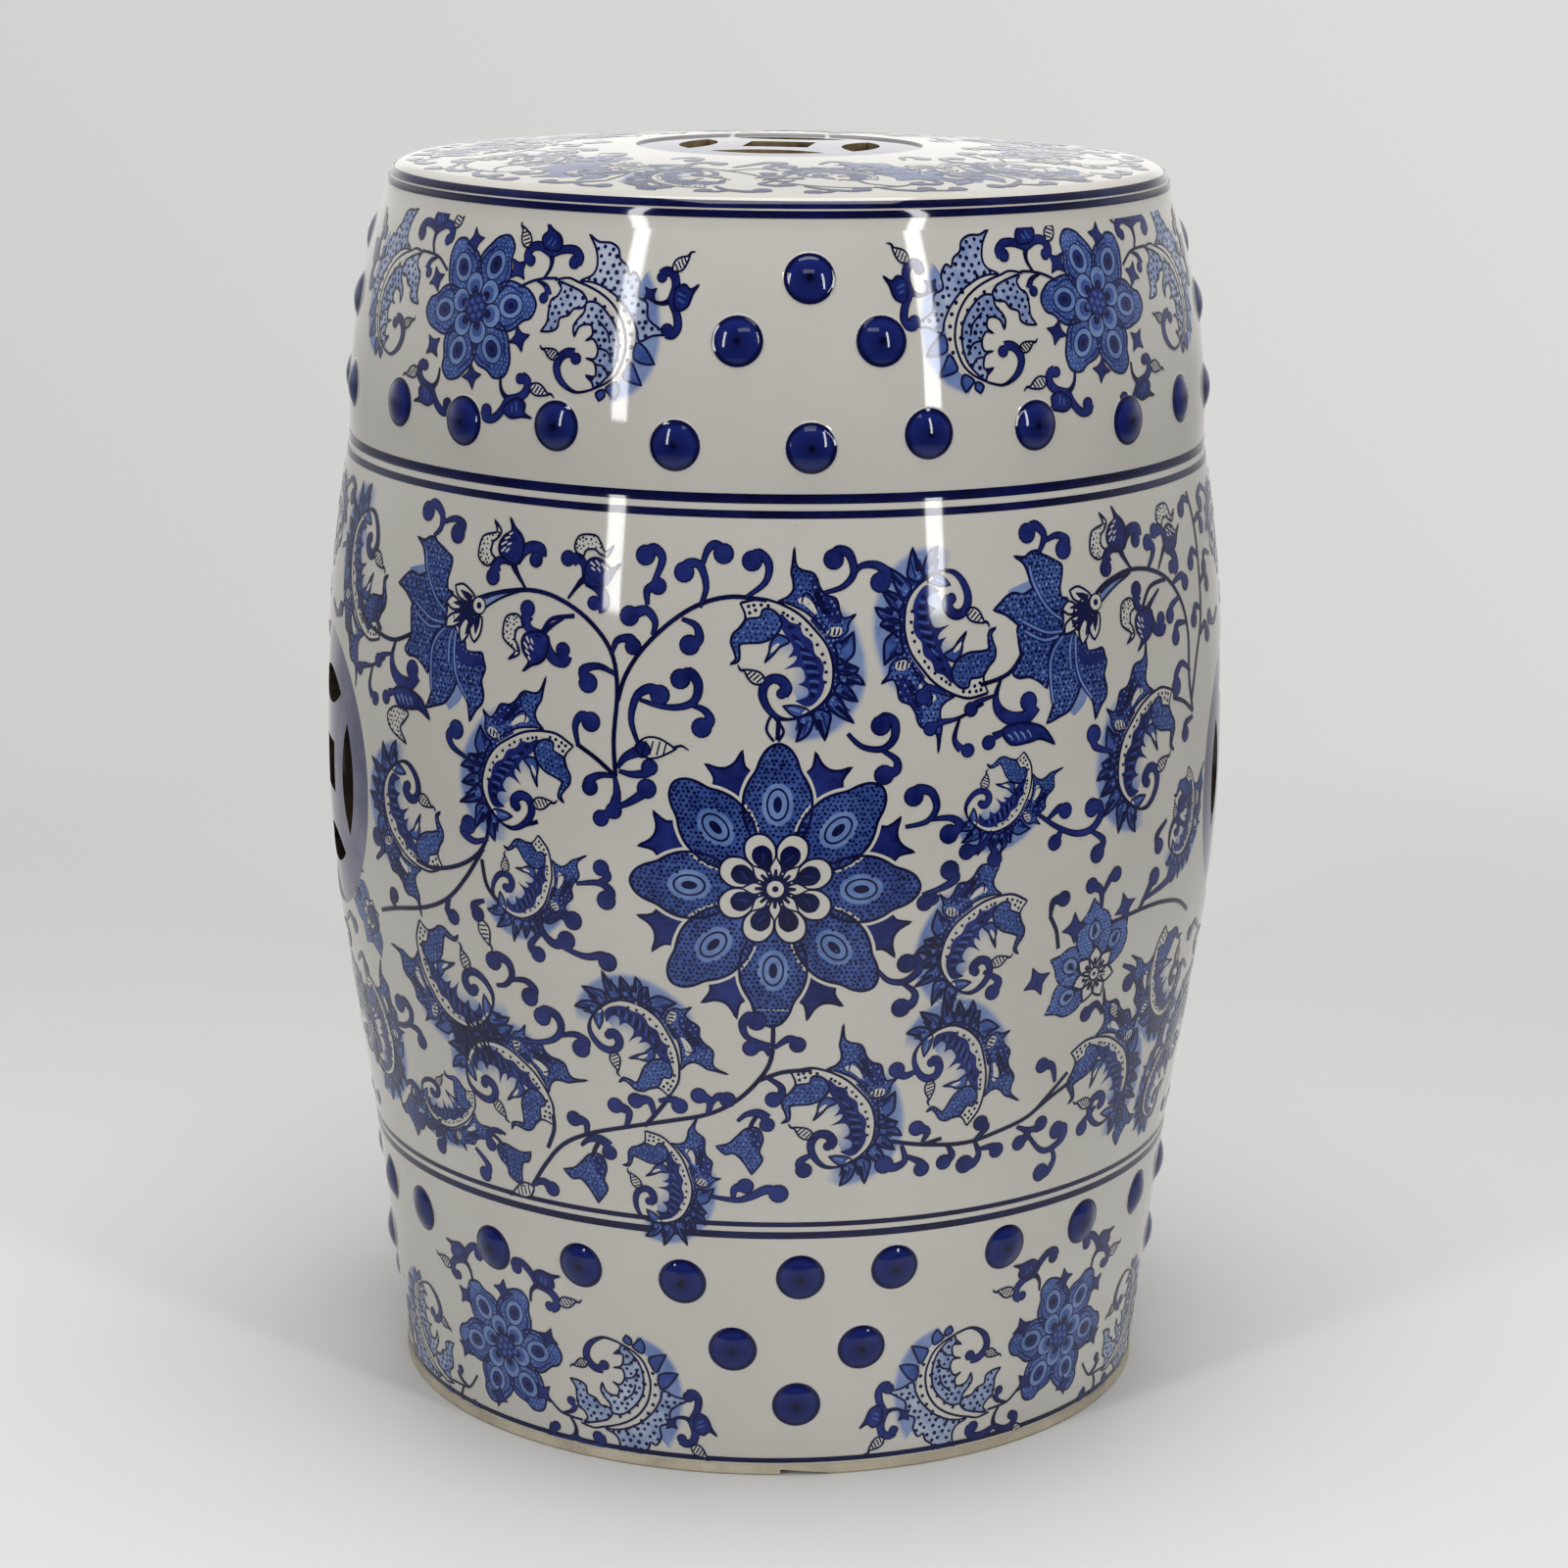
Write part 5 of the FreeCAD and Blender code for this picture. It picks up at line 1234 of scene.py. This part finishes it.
def lay_paint(sheet, place, finishes, prefix, level_rise, kinks=()):
    """Wraps a sheet's brush strokes onto the stool, one thin piece for each kind of motif."""
    kinds = {}
    for piece, paint, level, points in sheet.strokes:
        kinds.setdefault(piece, []).append((paint, level, points))
    paints = sorted(finishes)
    for kind, strokes in kinds.items():
        spots, faces, colours = {}, [], []
        for paint, level, points in strokes:
            flat = [Vector((x, y, 0)) for x, y, _ in points]
            shapes = [points]
            if len(points) > 8:
                shapes = [[points[i] for i in corner]
                          for corner in geometry.tessellate_polygon([flat])]
            for shape in shapes:
                area = sum(p[0] * q[1] - q[0] * p[1] for p, q in zip(shape, shape[1:] + shape[:1]))
                if abs(area) < 1e-7:
                    continue
                if area < 0:
                    shape = shape[::-1]
                parts = [shape]
                for axis in (0, 1):
                    low, high = (f(p[axis] for p in shape) for f in (min, max))
                    lines = list(kinks) if axis else []
                    if high - low > sheet.step[axis] * 0.8:
                        lines += grid_lines(low, high, sheet.step[axis])
                    parts = [cut for part in parts for cut in sliced(part, axis, sorted(lines))]
                for part in parts:
                    if sheet.bare(*(sum(p[axis] for p in part) / len(part) for axis in (0, 1))):
                        continue
                    keys = [(round(x, 5), round(y, 5), level, round(fade, 3))
                            for x, y, fade in part]
                    keys = [key for i, key in enumerate(keys) if key != keys[i - 1]]
                    if len(set(keys)) > 2:
                        faces.append([spots.setdefault(key, len(spots)) for key in keys])
                        colours.append(paints.index(paint))
        placed = [place(x, y, SKIN + level_rise * (level + 1)) for x, y, level, fade in spots]
        mesh = bpy.data.meshes.new(prefix + kind)
        mesh.from_pydata([spot for spot, _ in placed], [], faces)
        mesh.validate()
        mesh.polygons.foreach_set("material_index", colours[:len(mesh.polygons)])
        mesh.polygons.foreach_set("use_smooth", [True] * len(mesh.polygons))
        fade = mesh.attributes.new("fade", "FLOAT", "POINT")
        fade.data.foreach_set("value", [key[3] for key in spots])
        mesh.normals_split_custom_set_from_vertices([way for _, way in placed])
        piece = bpy.data.objects.new(prefix + kind, mesh)
        bpy.context.scene.collection.objects.link(piece)
        settle(piece, prefix + kind, None, "cobalt_glaze")
        for paint in paints:
            mesh.materials.append(finishes[paint])


# Materials

class Reading:
    """A value or colour from a node; arithmetic on values adds the nodes it needs."""

    def __init__(self, finish, socket):
        self.finish, self.socket = finish, socket

    def math(self, operation, first, second):
        made = self.finish.node("ShaderNodeMath", {"operation": operation}, {0: first, 1: second})
        return Reading(self.finish, made.outputs[0])

    def __add__(self, other):
        return self.math("ADD", self, other)

    def __sub__(self, other):
        return self.math("SUBTRACT", self, other)

    def __mul__(self, other):
        return self.math("MULTIPLY", self, other)


def linear(red, green, blue):
    """A colour by its screen values out of 255, as the shader wants it."""
    return tuple((v / 3294.6) if v < 10.3 else ((v / 255 + 0.055) / 1.055) ** 2.4
                 for v in (red, green, blue)) + (1.0,)


class Finish:
    """A material, or a world, and its nodes."""

    def __init__(self, name, owner=None):
        self.material = owner or bpy.data.materials.new(name)
        self.material.use_nodes = True
        self.tree = self.material.node_tree
        self.tree.nodes.clear()
        self.place = self.read("ShaderNodeTexCoord", {}, {}, "Generated" if owner else "Object")

    def node(self, kind, settings, values):
        made = self.tree.nodes.new(kind)
        for name, value in settings.items():
            if name == "stops":
                while len(made.color_ramp.elements) < len(value):
                    made.color_ramp.elements.new(0.5)
                for stop, (position, colour) in zip(made.color_ramp.elements, value):
                    stop.position = position
                    stop.color = colour
            else:
                setattr(made, name, value)
        for name, value in values.items():
            if isinstance(value, Reading):
                self.tree.links.new(value.socket, made.inputs[name])
            else:
                made.inputs[name].default_value = value
        return made

    def read(self, kind, settings, values, output=0):
        return Reading(self, self.node(kind, settings, values).outputs[output])

    def noise(self, scale, detail=2.0, rough=0.5):
        return self.read("ShaderNodeTexNoise", {}, {"Vector": self.place, "Scale": scale,
                                                    "Detail": detail, "Roughness": rough}, "Fac")

    def ramp(self, value, *stops):
        return self.read("ShaderNodeValToRGB", {"stops": stops}, {"Fac": value}, "Color")

    def span(self, value, low, high, to_low=0.0, to_high=1.0):
        return self.read("ShaderNodeMapRange", {}, {
            "Value": value, "From Min": low, "From Max": high, "To Min": to_low, "To Max": to_high})

    def blend(self, share, first, second):
        made = self.node("ShaderNodeMix", {"data_type": "RGBA"}, {0: share, 6: first, 7: second})
        return Reading(self, made.outputs[2])

    def surface(self, **values):
        named = {name.replace("_", " "): value for name, value in values.items()}
        shader = self.node("ShaderNodeBsdfPrincipled", {}, named)
        out = self.node("ShaderNodeOutputMaterial", {}, {})
        self.tree.links.new(shader.outputs[0], out.inputs["Surface"])
        return self.material


def glaze_colour(finish):
    """Warm white glaze, a little cloudy, with a few iron specks."""
    cloud = finish.noise(9.0, 3.0, 0.55)
    white = finish.ramp(cloud, (0.35, linear(*GLAZE_DIM)), (0.65, linear(*GLAZE_BRIGHT)))
    speck = finish.read("ShaderNodeTexVoronoi", {}, {"Vector": finish.place, "Scale": 95.0},
                        "Distance")
    chance = finish.noise(31.0, 1.0)
    mask = finish.span(speck, 0.03, 0.06, 1.0, 0.0) * finish.span(chance, 0.62, 0.66)
    return finish.blend(mask * 0.5, white, linear(120, 104, 84))


def glassy(finish, colour, **more):
    """The clear glaze over everything: glossy, softly wavy, with fine pinholes."""
    waves = finish.noise(22.0, 1.5, 0.4)
    peel = finish.noise(260.0, 2.0, 0.5)
    bump = finish.read("ShaderNodeBump", {}, {"Strength": 0.25, "Distance": 0.0012,
                                              "Height": waves * 0.5 + peel * 0.012}, "Normal")
    rough = finish.span(finish.noise(14.0, 2.0), 0.3, 0.7, 0.035, 0.07)
    return finish.surface(Base_Color=colour, Roughness=rough, Normal=bump, IOR=1.5,
                          Specular_IOR_Level=0.3, **more)


GLAZE_BRIGHT, GLAZE_DIM = (192, 189, 182), (184, 181, 174)
PAINTS = {
    # thick and thin of each strength of cobalt
    "mist": ((104, 124, 168), (168, 176, 192)),
    "wash": ((92, 112, 160), (124, 142, 180)),
    "sky": ((78, 104, 156), (112, 134, 178)),
    "blue": ((36, 56, 118), (66, 90, 150)),
    "deep": ((14, 21, 76), (34, 46, 112)),
    "ink": ((7, 9, 42), (16, 21, 70)),
}


def cobalt(name, thick, thin):
    """Cobalt under the glaze: blotchy where the brush ran dry or pooled."""
    finish = Finish(name)
    pool = finish.noise(42.0, 3.0, 0.6)
    fine = finish.noise(260.0, 2.0, 0.6)
    colour = finish.ramp(pool * 0.65 + fine * 0.35, (0.38, linear(*thick)), (0.64, linear(*thin)))
    fade = finish.read("ShaderNodeAttribute", {"attribute_name": "fade"}, {}, "Fac")
    return glassy(finish, finish.blend(fade, glaze_colour(finish), colour))


white_finish = Finish("white_glaze")
white_glaze = glassy(white_finish, glaze_colour(white_finish))
finishes = {name: cobalt("cobalt_" + name, *pair) for name, pair in PAINTS.items()}
finishes["white"] = white_glaze


def clay(name, pale, dark):
    """Unglazed stoneware: sandy, mottled, rough."""
    finish = Finish(name)
    tone = finish.noise(60.0, 5.0, 0.6)
    grain = finish.noise(900.0, 3.0, 0.7)
    colour = finish.ramp(tone * 0.7 + grain * 0.3, (0.35, linear(*dark)), (0.65, linear(*pale)))
    bump = finish.read("ShaderNodeBump", {}, {"Strength": 0.5, "Distance": 0.0006, "Height": grain},
                       "Normal")
    return finish.surface(Base_Color=colour, Roughness=finish.span(tone, 0.3, 0.7, 0.75, 0.95),
                          Normal=bump)


bare_clay = clay("bare_clay", (188, 178, 158), (158, 148, 128))
# The clay of the pieces inside is a darker copy of the foot's clay: painted shade.
inside_clay = clay("inside_clay", (128, 112, 90), (92, 78, 60))


def coin_glaze(name, axis, hole_shade_dark, hole_shade_pale):
    """Lilac glaze on a coin's faces; the walls of its holes, across the axis, are bare clay painted
    darker than the foot's as shade.
    """
    finish = Finish(name)
    tone = finish.noise(26.0, 4.0, 0.6)
    stain = finish.noise(70.0, 3.0, 0.6)
    lilac = finish.ramp(tone * 0.7 + stain * 0.3, (0.34, linear(58, 56, 84)),
                        (0.5, linear(88, 86, 114)), (0.66, linear(118, 116, 138)))
    way = finish.read("ShaderNodeTexCoord", {}, {}, "Normal")
    along = finish.read("ShaderNodeSeparateXYZ", {}, {"Vector": way}, axis)
    # the hole walls' clay carries painted shade
    hole_clay_painted_shade = finish.ramp(stain, (0.35, linear(*hole_shade_dark)), (0.65, linear(*hole_shade_pale)))
    return glassy(finish, finish.blend(finish.span(along * along, 0.3, 0.5), hole_clay_painted_shade, lilac))


# Painted shade in the holes: the seat coin's walls a shaded brown, the side coins' near black.
top_coin = coin_glaze("lilac_glaze", "Z", (66, 54, 38), (150, 130, 98))
side_coin = coin_glaze("lilac_glaze_side", "X", (26, 22, 20), (58, 48, 38))


# Barrel and seat

# Heights at which the wall's outline changes from one line or arc to the next
BENDS = (RIDGE_HEIGHT, BELLY_HEIGHT - BELLY_TURN, BELLY_HEIGHT, BAND_HEIGHT)


def wall_outline(rise, low, high, step=4.0):
    between = {h for h in grid_lines(low, high, step) + list(BENDS) if low < h < high}
    return [(wall_radius(h) + rise, h) for h in sorted({low, high} | between)]


outside = wall_outline(SKIN, FOOT_TOP, WALL_TOP)
inner = [(r - WALL, h) for r, h in wall_outline(0, FOOT_TOP, WALL_TOP, 12.0)]
barrel = turned(outside + inner[::-1] + outside[:1], TURNED_SIDES)
CUT_REACH, CUT_DEPTH = 0.16, 0.08
for side, angle in MEDALLION_ANGLES.items():
    begin()
    across = math.radians(angle)
    bpy.ops.mesh.primitive_cylinder_add(
        vertices=160, radius=MEDALLION_RADIUS * MM, depth=CUT_DEPTH, location=(
            CUT_REACH * math.sin(across), -CUT_REACH * math.cos(across), MEDALLION_HEIGHT * MM),
        rotation=(math.pi / 2, 0, across))
    cut_away(barrel, bpy.context.object)


def outward_normals(piece, way, facing=0.9):
    """Exact normals where faces lie along the formed surface, and flat ones at its cut edges."""
    mesh = piece.data
    normals = [Vector()] * len(mesh.loops)
    for face in mesh.polygons:
        face.use_smooth = True
        for loop in face.loop_indices:
            exact = way(mesh.vertices[mesh.loops[loop].vertex_index].co)
            normals[loop] = exact if exact.dot(face.normal) > facing else face.normal
    mesh.normals_split_custom_set(normals)


def wall_way(spot):
    angle = math.degrees(math.atan2(spot.x, -spot.y))
    return wall_place(angle, min(max(spot.z / MM, FOOT_TOP + 1.2), WALL_TOP - 1.2), 0)[1]


outward_normals(barrel, wall_way)
settle(barrel, "glazed_barrel", white_glaze, "white_glaze", "barrel_wall")

rim_end = (RIM_TOP_RADIUS, seat_height(RIM_TOP_RADIUS))


def rim_spot(turn):
    """A place on the rim's round, from its side at 0 degrees to the dome's edge at 90."""
    angle = math.radians(turn)
    return (rim_end[0] + (RIM_BASE[0] - rim_end[0]) * math.cos(angle),
            RIM_BASE[1] + (rim_end[1] - RIM_BASE[1]) * math.sin(angle))


rim = [rim_spot(90 * (i / 10)) for i in range(11)]
side_line = [(wall_radius(WALL_TOP), WALL_TOP), (RIM_BASE[0] + 0.6, WALL_TOP + 2.2)]
DOME_START = 132
dome = [(r, seat_height(r)) for r in range(DOME_START, int(MEDALLION_RADIUS), -4)]
over = [(r + SKIN, h + (SKIN if h > WALL_TOP + 1 else 0)) for r, h in side_line + rim + dome]
over.append((MEDALLION_RADIUS, seat_height(MEDALLION_RADIUS) + SKIN))
under = [(r, seat_height(r) - SEAT_THICKNESS) for r in (MEDALLION_RADIUS, 80, 110, DOME_START)]
seat = turned(over + under + [(135.0, WALL_TOP)] + over[:1], TURNED_SIDES)
bpy.ops.object.shade_smooth_by_angle(angle=math.radians(25))
settle(seat, "glazed_seat", white_glaze, "white_glaze", "seat_top")


def boss(place):
    """A nail-head boss: a low cap of a ball that runs out into the glaze."""
    ball = (BOSS_RADIUS ** 2 + BOSS_PROUD ** 2) / (2 * BOSS_PROUD)
    outline = [(BOSS_RADIUS + 1.0, -0.2), (BOSS_RADIUS + 0.45, 0.02), (BOSS_RADIUS + 0.15, 0.16)]
    outline += [(r, math.sqrt(ball ** 2 - r ** 2) - ball + BOSS_PROUD)
                for r in (7.9, 7.2, 6.2, 4.8, 3.2, 1.6)]
    piece = turned(outline + [(0.5, BOSS_PROUD)], BOSS_SIDES, pole=True)
    mesh = piece.data
    ringed = mesh.attributes.new("ring", "FLOAT", "POINT")
    ringed.data.foreach_set("value", [math.hypot(v.co.x, v.co.y) / (BOSS_RADIUS * MM)
                                      for v in mesh.vertices])
    spot, way = place
    turn = way.to_track_quat("Z", "Y").to_matrix().to_4x4()
    mesh.transform(Matrix.Translation(spot) @ turn)
    return piece


boss_finish = Finish("cobalt_boss")
boss_ring = boss_finish.read("ShaderNodeAttribute", {"attribute_name": "ring"}, {}, "Fac")
boss_spread = boss_ring + (boss_finish.noise(120.0, 2.0) - 0.5) * 0.16
boss_colour = boss_finish.ramp(boss_spread, (0.08, linear(5, 6, 30)), (0.22, linear(16, 24, 78)),
                               (0.78, linear(24, 35, 98)), (0.94, linear(10, 14, 56)))
boss_glaze = glassy(boss_finish, boss_finish.blend(
    boss_finish.span(boss_ring, 1.03, 1.07), boss_colour, glaze_colour(boss_finish)))

ROW_COUNT, ROW_START = 23, 4.2
# How far single bosses stand off their even places: degrees and millimetres
UPPER_SHIFTS = {-5: (-1.9, 1), -4: (1.4, 1), -3: (-0.2, -1), -2: (-1.1, 1), -1: (-1, -3),
                0: (0, -3), 1: (-1, 1), 2: (-1.7, 1.5), 3: (-0.6, -1), 4: (-1.5, 2), 5: (-1, 1)}
LOWER_SHIFTS = {-5: (2.2, 0.5), -4: (-0.5, -1), -3: (0.7, -4), -2: (0.4, -2), -1: (-0.4, -3),
                0: (0, 0), 1: (-2.7, 2), 2: (-1.4, 3), 3: (-1.8, 3.5), 4: (-1.3, 2.5), 5: (-2.4, 3)}


def bosses(name, spots):
    made = [boss(wall_place(angle, height, SKIN)) for angle, height in spots]
    begin()
    for piece in made:
        piece.select_set(True)
    bpy.context.view_layer.objects.active = made[0]
    bpy.ops.object.join()
    settle(made[0], "glazed_" + name, boss_glaze, "cobalt_glaze", name)


for name, shifts, height in (("upper_row_bosses", UPPER_SHIFTS, 377.5),
                             ("lower_row_bosses", LOWER_SHIFTS, 78.5)):
    spots = []
    for i in range(ROW_COUNT):
        index = i - ROW_COUNT if i > ROW_COUNT // 2 else i
        turn, rise = shifts.get(index, (0, 0))
        spots.append((ROW_START + 360 / ROW_COUNT * index + turn, height + rise))
    bosses(name, spots)
TRIANGLE_SPREAD = 9
for side, angle in (("front", 4), ("right", 92), ("back", 182), ("left", -90)):
    for band, pair, tip in (("upper", 409.5, 430), ("lower", 50, 28.3)):
        bosses("%s_triangle_bosses_%s" % (band, side),
               [(angle - TRIANGLE_SPREAD, pair), (angle + TRIANGLE_SPREAD, pair), (angle, tip)])


# Painted lines round the barrel and the rim

def painted_line(name, ring, way=None):
    line = turned(ring, TURNED_SIDES)
    mesh = line.data
    mesh.attributes.new("fade", "FLOAT", "POINT").data.foreach_set("value",
                                                                   [1.0] * len(mesh.vertices))
    if way:
        outward_normals(line, way, -2)
    settle(line, name, finishes["ink"], "cobalt_glaze")


# the height of each line's middle and half its width, then the degrees that a rim line spans
for name, height, half in (("line_over_body", 357.4, 1.65), ("line_over_body_second", 352.2, 1.3),
                           ("line_under_body_fine", 99.1, 0.95), ("line_under_body", 94.9, 1.35),
                           ("line_at_foot", 5.8, 1.0)):
    painted_line(name, [(wall_radius(h) + SKIN + LEVEL * 3, h)
                        for h in (height - half, height, height + half)], wall_way)
RIM_PAINT = 0.12
for name, low, high in (("rim_line_upper", 24.5, 46.5), ("rim_line_lower", 0.5, 19.5)):
    ring = []
    for i in range(7):
        turn = low + (high - low) * i / 6
        radius, height = rim_spot(turn)
        ring.append((radius + SKIN + RIM_PAINT * math.cos(math.radians(turn)),
                     height + SKIN + RIM_PAINT * math.sin(math.radians(turn))))
    painted_line(name, ring)

lay_paint(wall_sheet, wall_place, finishes, "painted_", LEVEL, (PAINT_LOW, *BENDS, PAINT_HIGH))
lay_paint(seat_sheet, seat_place, finishes, "seat_", LEVEL / 2)

# Pieces of the frame that stay: coils, foot and coins
for name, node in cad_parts.items():
    if node.hide_render:
        continue
    node.data.materials.clear()
    if "medallion" in name and "coil" not in name:
        node.data.materials.append(top_coin if "top" in name else side_coin)
    elif name == "foot_ring":
        node.data.materials.append(bare_clay)
    else:
        # the coils get the clay darkened as painted shade
        node.data.materials.append(inside_clay)


# Floor, light and camera

begin()
FLOOR_RADIUS, FADE_START, FADE_END = 1.4, 0.56, 1.05
bpy.ops.mesh.primitive_circle_add(vertices=96, radius=FLOOR_RADIUS, fill_type="NGON",
                                  location=(0, 0, 0))
floor = bpy.context.object
floor.name = "floor"
floor_finish = Finish("floor_paper")
tone = floor_finish.noise(1.5, 2.0)
far = floor_finish.read("ShaderNodeVectorMath", {"operation": "LENGTH"}, {0: floor_finish.place},
                        "Value")
floor.data.materials.append(floor_finish.surface(
    Base_Color=floor_finish.ramp(tone, (0.3, linear(206, 206, 205)), (0.7, linear(212, 212, 211))),
    Roughness=0.6, Alpha=floor_finish.span(far, FADE_START, FADE_END, 1.0, 0.0)))

# A pale backdrop behind the stool and a dark room behind the camera; the backdrop as the camera
# sees it is painted darker lower down and to the left, as painted light and shade
world = bpy.data.worlds.new("studio")
bpy.context.scene.world = world
studio = Finish("studio", world)
way = studio.node("ShaderNodeSeparateXYZ", {}, {"Vector": studio.place})
sideways, back, up = (Reading(studio, output) for output in way.outputs)
room = (studio.span(back, -0.3, 0.5, 0.07, 0.85) * studio.span(up, -0.1, 0.04, 0.45, 1.0)
        + studio.span(back, 0.8, 0.95, 0.0, 0.28)) * studio.span(up, 0.14, 0.26, 1.0, 0.62)
# For camera rays only: the backdrop painted darker lower down and to the left, painted light and
# shade.
backdrop_painted_light = studio.span(up, -0.28, -0.05, 0.64, 0.68) + sideways * 0.2
is_seen = studio.read("ShaderNodeLightPath", {}, {}, "Is Camera Ray")
strength = room + is_seen * (backdrop_painted_light - room)
lit = studio.node("ShaderNodeBackground", {}, {"Color": (1.0, 1.0, 0.985, 1), "Strength": strength})
studio.tree.links.new(lit.outputs[0],
                      studio.node("ShaderNodeOutputWorld", {}, {}).inputs["Surface"])


AIM_HEIGHT, LAMP_DISTANCE = 0.28, 2.2


def softbox(name, azimuth, elevation, width, height, power):
    """A soft lamp that faces the stool's middle."""
    flat = math.cos(math.radians(elevation)) * LAMP_DISTANCE
    spot = Vector((flat * math.sin(math.radians(azimuth)), -flat * math.cos(math.radians(azimuth)),
                   AIM_HEIGHT + LAMP_DISTANCE * math.sin(math.radians(elevation))))
    begin()
    bpy.ops.object.light_add(type="AREA", location=spot)
    lamp = bpy.context.object
    lamp.name = name
    lamp.rotation_euler = (spot - Vector((0, 0, AIM_HEIGHT))).to_track_quat("Z", "Y").to_euler()
    lamp.data.shape = "RECTANGLE"
    lamp.data.size, lamp.data.size_y = width, height
    lamp.data.energy = power


softbox("strip_left", -40, 17.8, 0.17, 1.2, 15.6)
softbox("strip_right", 39.5, 17.8, 0.17, 1.2, 15.6)
softbox("overhead", 10, 86, 1.5, 1.5, 46)
softbox("rim_light", 6, 41, 0.9, 0.3, 3)

CAMERA_SPOT, CAMERA_DIP, CAMERA_ROLL = (0, -1.4894, 0.5812), 13.585, 0.009
PICTURE_WIDTH, STOOL_AXIS = 1600, 789.5

bpy.ops.object.camera_add(location=CAMERA_SPOT)
camera = bpy.context.object
camera.data.lens = 92.57
camera.data.sensor_width = 36.0
camera.data.shift_x = (PICTURE_WIDTH / 2 - STOOL_AXIS) / PICTURE_WIDTH
look = Matrix.Rotation(math.radians(90 - CAMERA_DIP), 4, "X") @ Matrix.Rotation(CAMERA_ROLL, 4, "Z")
camera.matrix_world = Matrix.Translation(CAMERA_SPOT) @ look
bpy.context.scene.camera = camera
bpy.context.scene.view_settings.view_transform = "Standard"
